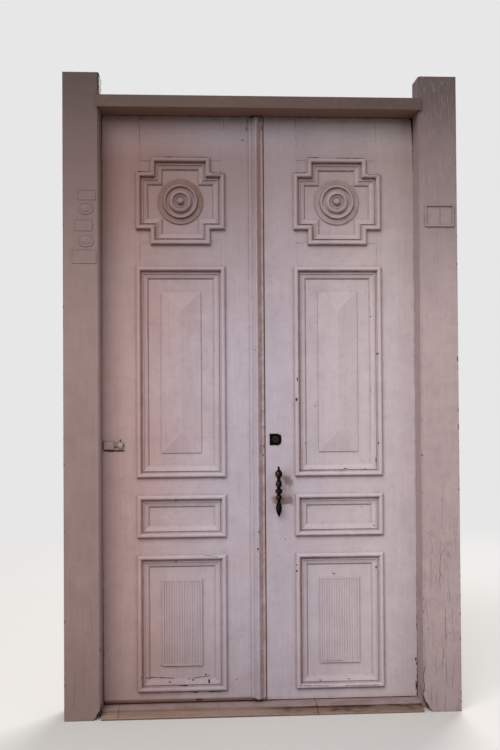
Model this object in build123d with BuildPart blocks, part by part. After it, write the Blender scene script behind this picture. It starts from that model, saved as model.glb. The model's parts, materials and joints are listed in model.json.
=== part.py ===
"""Two-leaf carved wooden street door in its timber frame.

Frame of reference: +X to the right as seen from the street, the street lies
towards -Y, the house towards +Y, +Z up.  The origin is on the underside of the
threshold, in the middle of the opening, in the plane of the leaves' street
face.  A height that stands out towards the street from that plane is called a
relief, and a sketch on Plane.XZ grows towards the street.  All sizes are in
millimetres.
"""

from build123d import *
from math import hypot
import os

os.makedirs("parts", exist_ok=True)

# Opening and frame
opening_width = 1290.0
opening_height = 2400.0
post_width_left = 144.0
post_width_right = 154.0
frame_reach = 110.0
post_horn = 92.0
stop_lap = 12.0
stop_gap = 1.0
post_arris = 7.0
head_height = 48.0
head_proud = 12.0
head_lap = 9.0
threshold_thickness = 28.0
threshold_tread = 64.0
threshold_step = 8.0
threshold_fall = 10.0
threshold_nose = 4.0

# Corners that have rotted away at the feet of the posts
left_break_width = 33.0
left_break_height = 62.0
right_break_width = 40.0
right_break_height = 70.0
break_depth = 55.0
break_outline = ((0.0, 1.0), (0.2, 0.62), (0.5, 0.4), (0.62, 0.22), (1.0, 0.0))

# Leaves
leaf_thickness = 45.0
leaf_sill_gap = 4.0
leaf_edge_gap = 3.0
leaf_head_gap = 3.0
meeting_gap = 4.0
meeting_offset = 19.0

# Mouldings round the panels: margins beside them, then heights and gaps from the sill up.
# The tall panel takes the height that the others leave.
hinge_margin = 138.5
meeting_margin = 141.5
foot_margin = 43.0
low_height = 554.0
lower_gap = 70.0
small_height = 174.0
lock_gap = 71.0
frieze_gap = 89.0
cross_height = 360.0
head_margin = 174.0
cross_notch_width = 59.5
cross_notch_height = 62.0

# Section of the mouldings
moulding_lap = 15.0
moulding_band = 51.0
lip_width = 19.0
lip_crown = 8.5
lip_relief = 17.0
lip_shoulder = 7.0
lip_inner_edge = 9.5
quirk_width = 6.0
quirk_floor = -1.5
bead_radius = 3.0
bead_drop = 1.5
slope_fall = 6.0
toe_width = 2.0
toe_drop = 2.0

# Panels, grooves and tenons
panel_thickness = 12.0
panel_recess = 12.0
groove_depth = 10.0
panel_tongue = 8.0
tenon_length = 60.0
tenon_haunch = 12.0

# Raised fields
field_border = 50.0
field_step = 5.0
field_ledge = 4.0
hip_rise = 13.0
reed_field_rise = 8.0
reed_border = 8.0
reed_count = 14
reed_sink = 3.0
reed_rise = 2.6

# Turned rosette
rosette_corner_gap = 5.3
rosette_edge = 5.0
brim_width = 23.0
brim_rise = 3.0
ring_wall = 6.0
ring_half_width = 5.0
ring_relief = 19.0
ring_inner_relief = 14.0
dish_radius = 57.0
dish_relief = 9.0
dish_width = 9.0
dish_lip = 2.0
bell_radius = 42.0
bell_shoulder = 19.5
bell_crown_radius = 33.0
bell_relief = 22.0
collar_radius = 25.0
collar_relief = 16.0
collar_bevel = 3.0
collar_bevel_drop = 2.0
button_radius = 14.0
button_groove_relief = 11.5
button_groove_width = 3.5
button_wall = 6.0
button_shoulder_radius = 11.0
button_shoulder_relief = 25.5
button_flat_radius = 4.3
button_relief = 29.0

# Astragal over the meeting stiles
astragal_width = 60.0
astragal_relief = 28.0
astragal_edge = 7.0
astragal_bevel = 2.0
astragal_ledge = 13.0
astragal_ledge_rise = 4.0
astragal_nose = 3.5
astragal_end_gap = 8.0

# Butt hinges
hinge_height = 100.0
lower_hinge_level = 250.0
middle_hinge_level = 1230.0
upper_hinge_drop = 230.0
hinge_plate = 2.5
hinge_plate_depth = 32.0
knuckle_radius = 6.0
knuckle_gap = 0.4
knuckle_stand_off = 6.5
pin_radius = 3.0
pin_clearance = 0.05
pin_head_radius = 5.0
pin_head_height = 5.0
pin_head_bevel = 2.0

# Rim lock, cylinder and keep on the inside of the meeting stiles
lock_level = 1065.0
lock_backset = 41.0
lock_case_length = 84.0
lock_case_height = 66.0
lock_case_depth = 24.0
lock_case_inset = 2.0
lock_case_bevel = 3.0
bolt_length = 28.0
bolt_height = 26.0
bolt_thickness = 12.0
bolt_throw = 16.0
bolt_clearance = 0.4
bolt_bevel = 1.0
keep_wall = 3.0
keep_length = 32.0
rose_width = 48.0
rose_height = 47.0
rose_thickness = 3.0
rose_round = 16.0
cylinder_radius = 14.0
cylinder_stand = 7.0
cylinder_bevel = 1.5
plug_radius = 7.0
plug_clearance = 0.05
keyway_width = 2.4
keyway_height = 8.0
keyway_depth = 6.0
spindle_radius = 4.0
turn_grip_length = 30.0
turn_grip_width = 9.0
turn_grip_height = 16.0
turn_grip_round = 2.7
turn_rose_radius = 12.0
turn_rose_thickness = 3.0
turn_gap = 0.3

# Pull handle, with the lengths and radii of its grip from the lower tip up
pull_offset = 50.5
pull_top = 956.0
pull_stand = 34.0
pull_neck_radius = 7.5
pull_tip_radius = 3.0
pull_tip_length = 13.0
pull_drop_radius = 12.5
pull_drop_length = 41.0
pull_waist_radius = 6.5
pull_waist_length = 15.0
pull_ball_radius = 12.0
pull_ball_length = 19.0
pull_collar_length = 5.0
pull_ring_radius = 15.0
pull_ring_length = 20.0
pull_bulb_radius = 13.0
pull_bulb_length = 28.0
pull_throat_length = 12.0
pull_crown_radius = 14.5
pull_crown_length = 30.0
pull_finial_radius = 4.5
pull_finial_length = 16.0
pull_finial_bevel = 2.0
pull_stud_radius = 5.0
pull_rose_radius = 10.0
pull_rose_thickness = 3.0

# Latch beside the left post, painted over
latch_level = 1046.0
latch_length = 83.0
latch_height = 37.0
latch_plate = 2.5
latch_case_length = 42.0
latch_case_relief = 14.0
latch_case_margin = 2.0
latch_case_round = 4.0
latch_bar_radius = 4.0
latch_knob_radius = 12.0
latch_knob_height = 17.5
latch_knob_neck_radius = 7.0
latch_knob_neck_length = 5.0
latch_knob_ball_height = 10.0
latch_knob_crown_radius = 8.0
latch_knob_crown_height = 15.0
latch_knob_flat_radius = 3.0
latch_knob_margin = 3.0
latch_post_gap = 4.0

# Surface bolts inside the left leaf
rod_offset = 75.0
rod_width = 16.0
rod_thickness = 8.0
rod_length = 210.0
rod_travel = 25.0
rod_clearance = 0.4
rod_rest_gap = 2.0
rod_tip_bevel = 1.5
bolt_plate_width = 44.0
bolt_plate_length = 170.0
bolt_plate_thickness = 3.0
bolt_plate_inset = 20.0
staple_wall = 3.0
staple_length = 18.0
staple_foot = 8.0
rod_knob_radius = 6.0
rod_knob_length = 16.0
rod_knob_round = 2.4
keeper_length = 18.0
head_keeper_rise = 2.0
sill_keeper_drop = 4.0

# Places worked out from the sizes above
half_opening = opening_width / 2
leaf_bottom = threshold_thickness + leaf_sill_gap
stop_level = leaf_bottom + opening_height
leaf_top = stop_level + stop_lap
head_top = stop_level + head_height
rebate_half = half_opening + stop_lap + leaf_edge_gap
hinge_edge = half_opening + stop_lap
left_meeting_edge = meeting_offset - meeting_gap / 2
right_meeting_edge = meeting_offset + meeting_gap / 2
moulding_width = half_opening - hinge_margin - meeting_margin
cross_arm_width = moulding_width - 2 * cross_notch_width
cross_arm_height = cross_height - 2 * cross_notch_height
half_panel_opening = moulding_width / 2 - moulding_lap
panel_offset = meeting_margin + moulding_width / 2
small_bottom = foot_margin + low_height + lower_gap
tall_bottom = small_bottom + small_height + lock_gap
cross_bottom = opening_height - head_margin - cross_height
tall_height = cross_bottom - frieze_gap - tall_bottom
hinge_levels = (lower_hinge_level, middle_hinge_level, opening_height - upper_hinge_drop)
pin_axis_x = hinge_edge + leaf_edge_gap / 2
pin_axis_y = leaf_thickness + knuckle_stand_off
street = (0, -1, 0)
house = (0, 1, 0)
upward = (0, 0, 1)
lock_z = leaf_bottom + lock_level
lock_x = right_meeting_edge + lock_backset
rosette_radius = hypot(
    cross_arm_width / 2 - moulding_band,
    cross_arm_height / 2 - moulding_band,
) - rosette_corner_gap


class Leaf:
    """Where one leaf's edges and panel openings lie."""

    def __init__(self, side):
        self.side = side
        self.sign = -1 if side == "left" else 1
        self.hinge_x = self.sign * hinge_edge
        self.meeting_x = left_meeting_edge if side == "left" else right_meeting_edge
        self.centre_x = self.sign * panel_offset
        self.inner_x = self.centre_x - self.sign * half_panel_opening
        self.outer_x = self.centre_x + self.sign * half_panel_opening


leaves = (Leaf("left"), Leaf("right"))

# Outer lower edge and height of each moulding, from the sill up
moulding_levels = {
    "low": (foot_margin, low_height),
    "small": (small_bottom, small_height),
    "tall": (tall_bottom, tall_height),
    "cross": (cross_bottom, cross_height),
}


def save(piece, name):
    """Label a finished piece and write its file."""
    piece.label = name
    export_step(piece, f"parts/{name}.step")


def opening_span(kind):
    """Lower and upper level of the panel opening under a moulding."""
    bottom, height = moulding_levels[kind]
    return leaf_bottom + bottom + moulding_lap, leaf_bottom + bottom + height - moulding_lap


def box_between(low, high, mode=Mode.ADD):
    """A block between two opposite corners, inside the current part."""
    size = [b - a for a, b in zip(low, high)]
    centre = [(a + b) / 2 for a, b in zip(low, high)]
    with Locations(tuple(centre)):
        Box(*size, mode=mode)


def turning_plane(origin, out):
    """Plane through a turning axis: the first size is a radius, the second runs along out."""
    return Plane(origin=origin, x_dir=(1, 0, 0), z_dir=Vector(1, 0, 0).cross(Vector(out)))


def turn_cylinder(origin, out, radius, length, mode=Mode.ADD):
    """A cylinder from origin along out, inside the current part."""
    with BuildSketch(Plane(origin=origin, z_dir=out)) as disc:
        Circle(radius)
    extrude(disc.sketch, amount=length, mode=mode)


def group(pieces):
    """Several like solids as one node."""
    return Part(children=[solid for piece in pieces for solid in piece.solids()])


# Frame: two posts, the head bar and the threshold


def make_post(sign, width, break_width, break_height):
    """A rebated post with a bevelled street corner and a rotted inner corner at its foot."""
    outer = half_opening + width
    with BuildPart() as post:
        with BuildSketch(Plane.XY):
            with BuildLine():
                Polyline(
                    (sign * half_opening, -stop_gap),
                    (sign * half_opening, post_arris - frame_reach),
                    (sign * (half_opening + post_arris), -frame_reach),
                    (sign * outer, -frame_reach),
                    (sign * outer, leaf_thickness),
                    (sign * rebate_half, leaf_thickness),
                    (sign * rebate_half, -stop_gap),
                    close=True,
                )
            make_face()
        extrude(amount=head_top + post_horn)
        for level in hinge_levels:
            hinge_pocket(sign * rebate_half, sign, leaf_bottom + level)
        head_notch(sign)
        with BuildSketch(Plane.XZ.offset(frame_reach)) as rot:
            with BuildLine() as edge:
                Polyline(
                    (sign * half_opening, 0),
                    *[(sign * (half_opening + across * break_width), up * break_height)
                      for across, up in break_outline],
                    close=True,
                )
            make_face(edge.edges())
        extrude(rot.sketch, amount=-break_depth, mode=Mode.SUBTRACT)
    return post.part


def hinge_pocket(face_x, outward, level):
    """Let a hinge plate into the edge at face_x; outward points into the timber."""
    box_between(
        (min(face_x, face_x + outward * hinge_plate), leaf_thickness - hinge_plate_depth,
         level - hinge_height / 2),
        (max(face_x, face_x + outward * hinge_plate), leaf_thickness,
         level + hinge_height / 2),
        mode=Mode.SUBTRACT,
    )


def head_notch(sign):
    """Housing in a post for the tenon at the end of the head bar."""
    low_x, high_x = sorted((sign * half_opening, sign * (rebate_half + tenon_length)))
    box_between(
        (low_x, -frame_reach / 2 - leaf_thickness / 2, stop_level + stop_lap + leaf_head_gap),
        (high_x, -frame_reach / 2 + leaf_thickness / 2, head_top - tenon_haunch / 2),
        mode=Mode.SUBTRACT,
    )


with BuildPart() as head_bar:
    with BuildSketch(Plane.YZ.offset(-half_opening)):
        with BuildLine():
            Polyline(
                (-frame_reach, stop_level),
                (-stop_gap, stop_level),
                (-stop_gap, leaf_top + leaf_head_gap),
                (leaf_thickness, leaf_top + leaf_head_gap),
                (leaf_thickness, head_top),
                (-frame_reach, head_top),
                close=True,
            )
        make_face()
    extrude(amount=opening_width)
    for sign in (-1, 1):
        low_x, high_x = sorted((sign * half_opening, sign * (rebate_half + tenon_length)))
        box_between(
            (low_x, -frame_reach / 2 - leaf_thickness / 2, leaf_top + leaf_head_gap),
            (high_x, -frame_reach / 2 + leaf_thickness / 2, head_top - tenon_haunch / 2),
        )
        low_x, high_x = sorted((sign * half_opening, sign * rebate_half))
        box_between((low_x, -stop_gap, leaf_top + leaf_head_gap), (high_x, leaf_thickness, head_top))
    box_between(
        (-half_opening - head_lap, -frame_reach - head_proud, stop_level),
        (half_opening + head_lap, -frame_reach, head_top),
    )

with BuildPart() as threshold:
    with BuildSketch(Plane.YZ.offset(-half_opening)):
        with BuildLine():
            tread_end = -threshold_tread
            nose_y = -frame_reach
            step_level = threshold_thickness - threshold_step
            nose_level = step_level - threshold_fall
            Polyline(
                (nose_y, 0),
                (leaf_thickness, 0),
                (leaf_thickness, threshold_thickness),
                (tread_end, threshold_thickness),
                (tread_end, step_level),
                (nose_y, nose_level),
            )
            ThreePointArc(
                (nose_y, nose_level),
                (nose_y - threshold_nose, nose_level / 2),
                (nose_y, 0),
            )
        make_face()
    extrude(amount=opening_width)
    for sign in (-1, 1):
        low_x, high_x = sorted((sign * half_opening, sign * rebate_half))
        box_between((low_x, -stop_gap, 0), (high_x, leaf_thickness, threshold_thickness))

save(make_post(-1, post_width_left, left_break_width, left_break_height), "left_post")
save(make_post(1, post_width_right, right_break_width, right_break_height), "right_post")
save(head_bar.part, "head_bar")
save(threshold.part, "threshold")


# Leaves: stiles, rails, panels


def rail_spans():
    """Name, lower and upper level of every rail, from the sill up."""
    low, small, tall, cross = (opening_span(k) for k in ("low", "small", "tall", "cross"))
    return {
        "bottom_rail": (leaf_bottom, low[0]),
        "lower_rail": (low[1], small[0]),
        "lock_rail": (small[1], tall[0]),
        "frieze_rail": (tall[1], cross[0]),
        "top_rail": (cross[1], leaf_top),
    }


def tongue_box(low_x, high_x, low_z, high_z, mode):
    """A block as thick as the panels' tongue, at the tongue's depth."""
    box_between(
        (min(low_x, high_x), panel_recess, low_z),
        (max(low_x, high_x), panel_recess + panel_thickness, high_z),
        mode=mode,
    )


def make_stile(edge_x, inner_x):
    """A stile grooved for the panels and mortised for the rails' tenons."""
    into_stile = 1 if edge_x > inner_x else -1
    with BuildPart() as stile:
        box_between(
            (min(edge_x, inner_x), 0, leaf_bottom),
            (max(edge_x, inner_x), leaf_thickness, leaf_top),
        )
        for kind in moulding_levels:
            bottom, top = opening_span(kind)
            groove_end = inner_x + into_stile * groove_depth
            tongue_box(inner_x, groove_end, bottom - groove_depth, top + groove_depth, Mode.SUBTRACT)
        for bottom, top in rail_spans().values():
            mortise_end = inner_x + into_stile * tenon_length
            tongue_box(inner_x, mortise_end, bottom + tenon_haunch, top - tenon_haunch, Mode.SUBTRACT)
    return stile.part


def make_rail(leaf, name):
    """A rail with a tenon at each end and a groove along each panel edge."""
    bottom, top = rail_spans()[name]
    low_x, high_x = sorted((leaf.inner_x, leaf.outer_x))
    with BuildPart() as rail:
        box_between((low_x, 0, bottom), (high_x, leaf_thickness, top))
        tongue_box(low_x - tenon_length, high_x + tenon_length,
                   bottom + tenon_haunch, top - tenon_haunch, Mode.ADD)
        if name != "bottom_rail":
            tongue_box(low_x, high_x, bottom, bottom + groove_depth, Mode.SUBTRACT)
        if name != "top_rail":
            tongue_box(low_x, high_x, top - groove_depth, top, Mode.SUBTRACT)
    return rail.part


def panel_blank(leaf, kind):
    """The flat board of a panel with its tongues, inside the current part."""
    bottom, top = opening_span(kind)
    low_x, high_x = sorted((leaf.inner_x, leaf.outer_x))
    tongue_box(low_x - panel_tongue, high_x + panel_tongue,
               bottom - panel_tongue, top + panel_tongue, Mode.ADD)


def field_size(kind):
    """Width and height of the raised field on a panel."""
    inset = 2 * (moulding_band + field_border)
    return moulding_width - inset, moulding_levels[kind][1] - inset


def panel_centre(leaf, kind):
    bottom, height = moulding_levels[kind]
    return leaf.centre_x, leaf_bottom + bottom + height / 2


def make_hipped_panel(leaf):
    """The tall panel: a stepped field that rises as a hipped roof to a ridge."""
    width, height = field_size("tall")
    centre_x, centre_z = panel_centre(leaf, "tall")
    base = -panel_recess + field_step
    half_width = width / 2 - field_ledge
    half_height = height / 2 - field_ledge
    with BuildPart() as hip:
        with BuildSketch(Plane.XY.offset(centre_z - half_height)):
            with BuildLine():
                Polyline(
                    (centre_x - half_width, -base),
                    (centre_x, -base - hip_rise),
                    (centre_x + half_width, -base),
                    close=True,
                )
            make_face()
        extrude(amount=2 * half_height)
        with BuildSketch(Plane.YZ.offset(centre_x - half_width)):
            with BuildLine():
                Polyline(
                    (-base, centre_z - half_height),
                    (-base, centre_z + half_height),
                    (-base - hip_rise, centre_z + half_height - half_width),
                    (-base - hip_rise, centre_z - half_height + half_width),
                    close=True,
                )
            make_face()
        extrude(amount=2 * half_width, mode=Mode.INTERSECT)
    with BuildPart() as panel:
        panel_blank(leaf, "tall")
        box_between(
            (centre_x - width / 2, -base, centre_z - height / 2),
            (centre_x + width / 2, panel_recess, centre_z + height / 2),
        )
        add(hip.part)
    return panel.part


def make_reeded_panel(leaf):
    """The low panel: a raised field sunk inside its border, filled with reeds."""
    width, height = field_size("low")
    centre_x, centre_z = panel_centre(leaf, "low")
    front = -panel_recess + reed_field_rise
    floor = front - reed_sink
    reed_width = (width - 2 * reed_border) / reed_count
    reed_start = centre_x - width / 2 + reed_border
    with BuildPart() as panel:
        panel_blank(leaf, "low")
        box_between(
            (centre_x - width / 2, -front, centre_z - height / 2),
            (centre_x + width / 2, panel_recess, centre_z + height / 2),
        )
        box_between(
            (centre_x - width / 2 + reed_border, -front, centre_z - height / 2 + reed_border),
            (centre_x + width / 2 - reed_border, -floor, centre_z + height / 2 - reed_border),
            mode=Mode.SUBTRACT,
        )
        with BuildSketch(Plane.XY.offset(centre_z - height / 2 + reed_border)):
            with BuildLine():
                for reed in range(reed_count):
                    left = reed_start + reed * reed_width
                    ThreePointArc(
                        (left, -floor),
                        (left + reed_width / 2, -floor - reed_rise),
                        (left + reed_width, -floor),
                    )
                Polyline(
                    (reed_start, -floor),
                    (reed_start, panel_recess),
                    (reed_start + reed_count * reed_width, panel_recess),
                    (reed_start + reed_count * reed_width, -floor),
                )
            make_face()
        extrude(amount=height - 2 * reed_border)
    return panel.part


def make_flat_panel(leaf, kind):
    with BuildPart() as panel:
        panel_blank(leaf, kind)
    return panel.part


def make_corner_blocks(leaf):
    """Four blocks, flush with the stiles, that turn the top opening into a cross."""
    bottom, top = opening_span("cross")
    centre_x, centre_z = panel_centre(leaf, "cross")
    block_x = cross_arm_width / 2 - moulding_lap
    block_z = cross_arm_height / 2 - moulding_lap
    with BuildPart() as blocks:
        for side in (-1, 1):
            for level in (-1, 1):
                low_x, high_x = sorted((centre_x + side * block_x, centre_x + side * half_panel_opening))
                low_z, high_z = sorted((centre_z + level * block_z,
                                        top if level > 0 else bottom))
                box_between((low_x, 0, low_z), (high_x, panel_recess, high_z))
    return blocks.part


# Planted mouldings, each a ring of mitred lengths


def draw_moulding_section():
    """Section of the planted moulding: first size across it, second its relief."""
    bead_start = lip_width + quirk_width
    bead_end = bead_start + 2 * bead_radius
    slope_end = moulding_band - bead_radius
    with BuildLine() as outline:
        Polyline(
            (moulding_lap, 0),
            (0, 0),
            (0, lip_shoulder),
        )
        ThreePointArc((0, lip_shoulder), (lip_crown, lip_relief), (lip_width, lip_inner_edge))
        Polyline(
            (lip_width, lip_inner_edge),
            (lip_width, quirk_floor),
            (bead_start, quirk_floor),
            (bead_start, 0),
        )
        ThreePointArc(
            (bead_start, 0),
            (bead_start + bead_radius, bead_radius),
            (bead_end, 0),
        )
        Polyline(
            (bead_end, 0),
            (bead_end, -bead_drop),
            (slope_end - toe_width, -slope_fall),
            (slope_end - toe_width, -slope_fall - toe_drop),
            (slope_end, -slope_fall - toe_drop),
            (moulding_band, -panel_recess),
            (moulding_lap, -panel_recess),
            (moulding_lap, 0),
        )
    make_face(outline.edges())


def moulding_length(start, end, turn_start, turn_end):
    """One length between two outer corners; a turn is 1 at a mitre, -1 at a re-entrant one."""
    along = (Vector(end) - Vector(start)).normalized()
    inward = Vector(0, -1, 0).cross(along)
    spare = 2 * moulding_band
    run = (Vector(end) - Vector(start)).length + 2 * spare
    with BuildPart() as length:
        with BuildSketch(Plane(origin=Vector(start) - along * spare, x_dir=inward, z_dir=along)):
            draw_moulding_section()
        extrude(amount=run)
        split(bisect_by=Plane(origin=start, z_dir=along - inward * turn_start), keep=Keep.TOP)
        split(bisect_by=Plane(origin=end, z_dir=-along - inward * turn_end), keep=Keep.TOP)
    return length.part


def make_moulding(leaf, kind):
    """A ring of mitred lengths round a panel, as one group."""
    centre_x, centre_z = panel_centre(leaf, kind)
    half_width = moulding_width / 2
    half_height = moulding_levels[kind][1] / 2
    if kind == "cross":
        arm_x = cross_arm_width / 2
        arm_z = cross_arm_height / 2
        outline = [(half_width, -arm_z), (half_width, arm_z), (arm_x, arm_z), (arm_x, half_height),
                   (-arm_x, half_height), (-arm_x, arm_z), (-half_width, arm_z),
                   (-half_width, -arm_z), (-arm_x, -arm_z), (-arm_x, -half_height),
                   (arm_x, -half_height), (arm_x, -arm_z)]
    else:
        outline = [(half_width, -half_height), (half_width, half_height),
                   (-half_width, half_height), (-half_width, -half_height)]
    corners = [Vector(centre_x + x, 0, centre_z + z) for x, z in outline]
    count = len(corners)
    turns = []
    for i in range(count):
        before = corners[i] - corners[i - 1]
        after = corners[(i + 1) % count] - corners[i]
        turns.append(-1 if before.cross(after).Y > 0 else 1)
    lengths = [
        moulding_length(corners[i], corners[(i + 1) % count], turns[i], turns[(i + 1) % count])
        for i in range(count)
    ]
    return group(lengths)


def make_rosette(leaf):
    """The turned rosette that fits inside the corners of the cross."""
    centre_x, centre_z = panel_centre(leaf, "cross")
    centre = (centre_x, panel_recess, centre_z)
    ring_outer = rosette_radius - brim_width
    ring_inner = ring_outer - 2 * ring_half_width
    dish_inner = dish_radius - dish_width
    groove_radius = button_radius + button_groove_width
    with BuildPart() as rosette:
        with BuildSketch(turning_plane(centre, street)):
            with BuildLine():
                Polyline(
                    (0, 0),
                    (rosette_radius, 0),
                    (rosette_radius, rosette_edge),
                    (ring_outer, rosette_edge + brim_rise),
                    (ring_outer, rosette_edge + brim_rise + ring_wall),
                )
                ThreePointArc(
                    (ring_outer, rosette_edge + brim_rise + ring_wall),
                    (ring_outer - ring_half_width, ring_relief),
                    (ring_inner, ring_inner_relief),
                )
                ThreePointArc(
                    (ring_inner, ring_inner_relief),
                    (dish_radius, dish_relief),
                    (dish_inner, dish_relief + dish_lip),
                )
                ThreePointArc(
                    (dish_inner, dish_relief + dish_lip),
                    (bell_radius, bell_shoulder),
                    (bell_crown_radius, bell_relief),
                )
                Polyline(
                    (bell_crown_radius, bell_relief),
                    (collar_radius + collar_bevel, collar_relief - collar_bevel_drop),
                    (collar_radius, collar_relief),
                    (groove_radius, button_groove_relief),
                    (button_radius, button_groove_relief),
                    (button_radius, button_groove_relief + button_wall),
                )
                ThreePointArc(
                    (button_radius, button_groove_relief + button_wall),
                    (button_shoulder_radius, button_shoulder_relief),
                    (button_flat_radius, button_relief),
                )
                Polyline((button_flat_radius, button_relief), (0, button_relief), (0, 0))
            make_face()
        revolve(axis=Axis(centre, street))
    return rosette.part


# Astragal on the left leaf's meeting edge


def make_astragal():
    """A peaked, stepped strip, symmetrical about its ridge."""
    half = astragal_width / 2
    ridge_x = left_meeting_edge - half
    shoulder = astragal_relief - astragal_nose / 2
    side = [
        (half, 0),
        (half, astragal_edge - astragal_bevel),
        (half - astragal_bevel, astragal_edge),
        (half - astragal_ledge, astragal_edge),
        (half - astragal_ledge, astragal_edge + astragal_ledge_rise),
        (astragal_nose, shoulder),
    ]
    with BuildPart() as strip:
        with BuildSketch(Plane.XY.offset(leaf_bottom + astragal_end_gap)):
            with BuildLine():
                Polyline(*[(ridge_x - u, -relief) for u, relief in side])
                ThreePointArc(
                    (ridge_x - astragal_nose, -shoulder),
                    (ridge_x, -astragal_relief),
                    (ridge_x + astragal_nose, -shoulder),
                )
                Polyline(*[(ridge_x + u, -relief) for u, relief in reversed(side)])
                Line((ridge_x + half, 0), (ridge_x - half, 0))
            make_face()
        extrude(amount=opening_height - 2 * astragal_end_gap)
    return strip.part


# Hinges


def knuckle_spans(level):
    """Lower and upper level of the three knuckles of a hinge, from the bottom."""
    third = (hinge_height - 2 * knuckle_gap) / 3
    low = leaf_bottom + level - hinge_height / 2
    starts = [low + i * (third + knuckle_gap) for i in range(3)]
    return [(start, start + third) for start in starts]


def make_hinge_plates(sign, plate_x, into, knuckles):
    """Plates let in at plate_x and the knuckles, by number, that they carry."""
    axis_x = sign * pin_axis_x
    low_x, high_x = sorted((plate_x, plate_x + into * hinge_plate))
    plates = []
    for level in hinge_levels:
        spans = knuckle_spans(level)
        with BuildPart() as plate:
            box_between(
                (low_x, leaf_thickness - hinge_plate_depth, spans[0][0]),
                (high_x, leaf_thickness, spans[2][1]),
            )
            for number in knuckles:
                low, high = spans[number]
                foot = (axis_x, pin_axis_y, low)
                box_between((low_x, leaf_thickness, low), (high_x, pin_axis_y, high))
                turn_cylinder(foot, upward, knuckle_radius, high - low)
                turn_cylinder(foot, upward, pin_radius + pin_clearance, high - low, Mode.SUBTRACT)
        plates.append(plate.part)
    return plates


def make_hinge_pins():
    """One headed pin for every hinge."""
    pins = []
    for sign in (-1, 1):
        for level in hinge_levels:
            foot = (sign * pin_axis_x, pin_axis_y, leaf_bottom + level - hinge_height / 2)
            with BuildPart() as pin:
                with BuildSketch(turning_plane(foot, upward)):
                    with BuildLine():
                        Polyline(
                            (0, 0),
                            (pin_radius, 0),
                            (pin_radius, hinge_height),
                            (pin_head_radius, hinge_height),
                            (pin_head_radius, hinge_height + pin_head_height - pin_head_bevel),
                            (pin_head_radius - pin_head_bevel, hinge_height + pin_head_height),
                            (0, hinge_height + pin_head_height),
                            close=True,
                        )
                    make_face()
                revolve(axis=Axis(foot, upward))
            pins.append(pin.part)
    return pins


# Lock, cylinder and keep

bolt_back = leaf_thickness + (lock_case_depth - bolt_thickness) / 2
bolt_front = bolt_back + bolt_thickness
case_edge = right_meeting_edge + lock_case_inset
case_back = leaf_thickness + lock_case_depth
lock_axis = (lock_x, 0, lock_z)

with BuildPart() as lock_rose:
    with BuildSketch(Plane.XZ):
        with Locations((lock_x, lock_z)):
            Rectangle(rose_width, rose_height)
        fillet(vertices().sort_by(Axis.X)[-2:], rose_round)
        with Locations((lock_x, lock_z)):
            Circle(cylinder_radius + plug_clearance, mode=Mode.SUBTRACT)
    extrude(amount=rose_thickness)

with BuildPart() as lock_cylinder:
    front = (lock_x, -cylinder_stand, lock_z)
    turn_cylinder(front, house, cylinder_radius, cylinder_stand + leaf_thickness)
    chamfer(lock_cylinder.edges().filter_by(GeomType.CIRCLE).sort_by(Axis.Y)[0], cylinder_bevel)
    turn_cylinder(front, house, plug_radius + plug_clearance, cylinder_stand + leaf_thickness,
                  Mode.SUBTRACT)

with BuildPart() as lock_plug:
    turn_cylinder((lock_x, -cylinder_stand, lock_z), house, plug_radius,
                  cylinder_stand + leaf_thickness)
    turn_cylinder((lock_x, leaf_thickness, lock_z), house, spindle_radius,
                  lock_case_depth + turn_gap)
    box_between(
        (lock_x - keyway_width / 2, -cylinder_stand, lock_z - keyway_height / 2),
        (lock_x + keyway_width / 2, keyway_depth - cylinder_stand, lock_z + keyway_height / 2),
        mode=Mode.SUBTRACT,
    )

with BuildPart() as turn_knob:
    turn_foot = case_back + turn_gap
    turn_cylinder((lock_x, turn_foot, lock_z), house, turn_rose_radius, turn_rose_thickness)
    box_between(
        (lock_x - turn_grip_width / 2, turn_foot, lock_z - turn_grip_length / 2),
        (lock_x + turn_grip_width / 2, turn_foot + turn_grip_height, lock_z + turn_grip_length / 2),
    )
    fillet(turn_knob.edges().group_by(Axis.Y)[-1], turn_grip_round)

with BuildPart() as lock_case:
    box_between(
        (case_edge, leaf_thickness, lock_z - lock_case_height / 2),
        (case_edge + lock_case_length, case_back, lock_z + lock_case_height / 2),
    )
    chamfer(lock_case.edges().group_by(Axis.Y)[-1], lock_case_bevel)
    box_between(
        (case_edge, bolt_back - bolt_clearance, lock_z - bolt_height / 2 - bolt_clearance),
        (case_edge + bolt_length + bolt_clearance, bolt_front + bolt_clearance,
         lock_z + bolt_height / 2 + bolt_clearance),
        mode=Mode.SUBTRACT,
    )
    turn_cylinder((lock_x, leaf_thickness, lock_z), house, spindle_radius + plug_clearance,
                  lock_case_depth, Mode.SUBTRACT)

with BuildPart() as lock_bolt:
    box_between(
        (case_edge, bolt_back, lock_z - bolt_height / 2),
        (case_edge + bolt_length, bolt_front, lock_z + bolt_height / 2),
    )
    chamfer(lock_bolt.edges().group_by(Axis.X)[0], bolt_bevel)

with BuildPart() as lock_keep:
    pocket_z = bolt_height / 2 + 2 * bolt_clearance
    box_between(
        (left_meeting_edge - keep_length, leaf_thickness, lock_z - pocket_z - keep_wall),
        (left_meeting_edge, bolt_front + 2 * bolt_clearance + keep_wall, lock_z + pocket_z + keep_wall),
    )
    box_between(
        (left_meeting_edge - keep_length + keep_wall, leaf_thickness + keep_wall, lock_z - pocket_z),
        (left_meeting_edge, bolt_front + 2 * bolt_clearance, lock_z + pocket_z),
        mode=Mode.SUBTRACT,
    )


# Pull handle: a turned grip on two studs, cast in one

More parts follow.
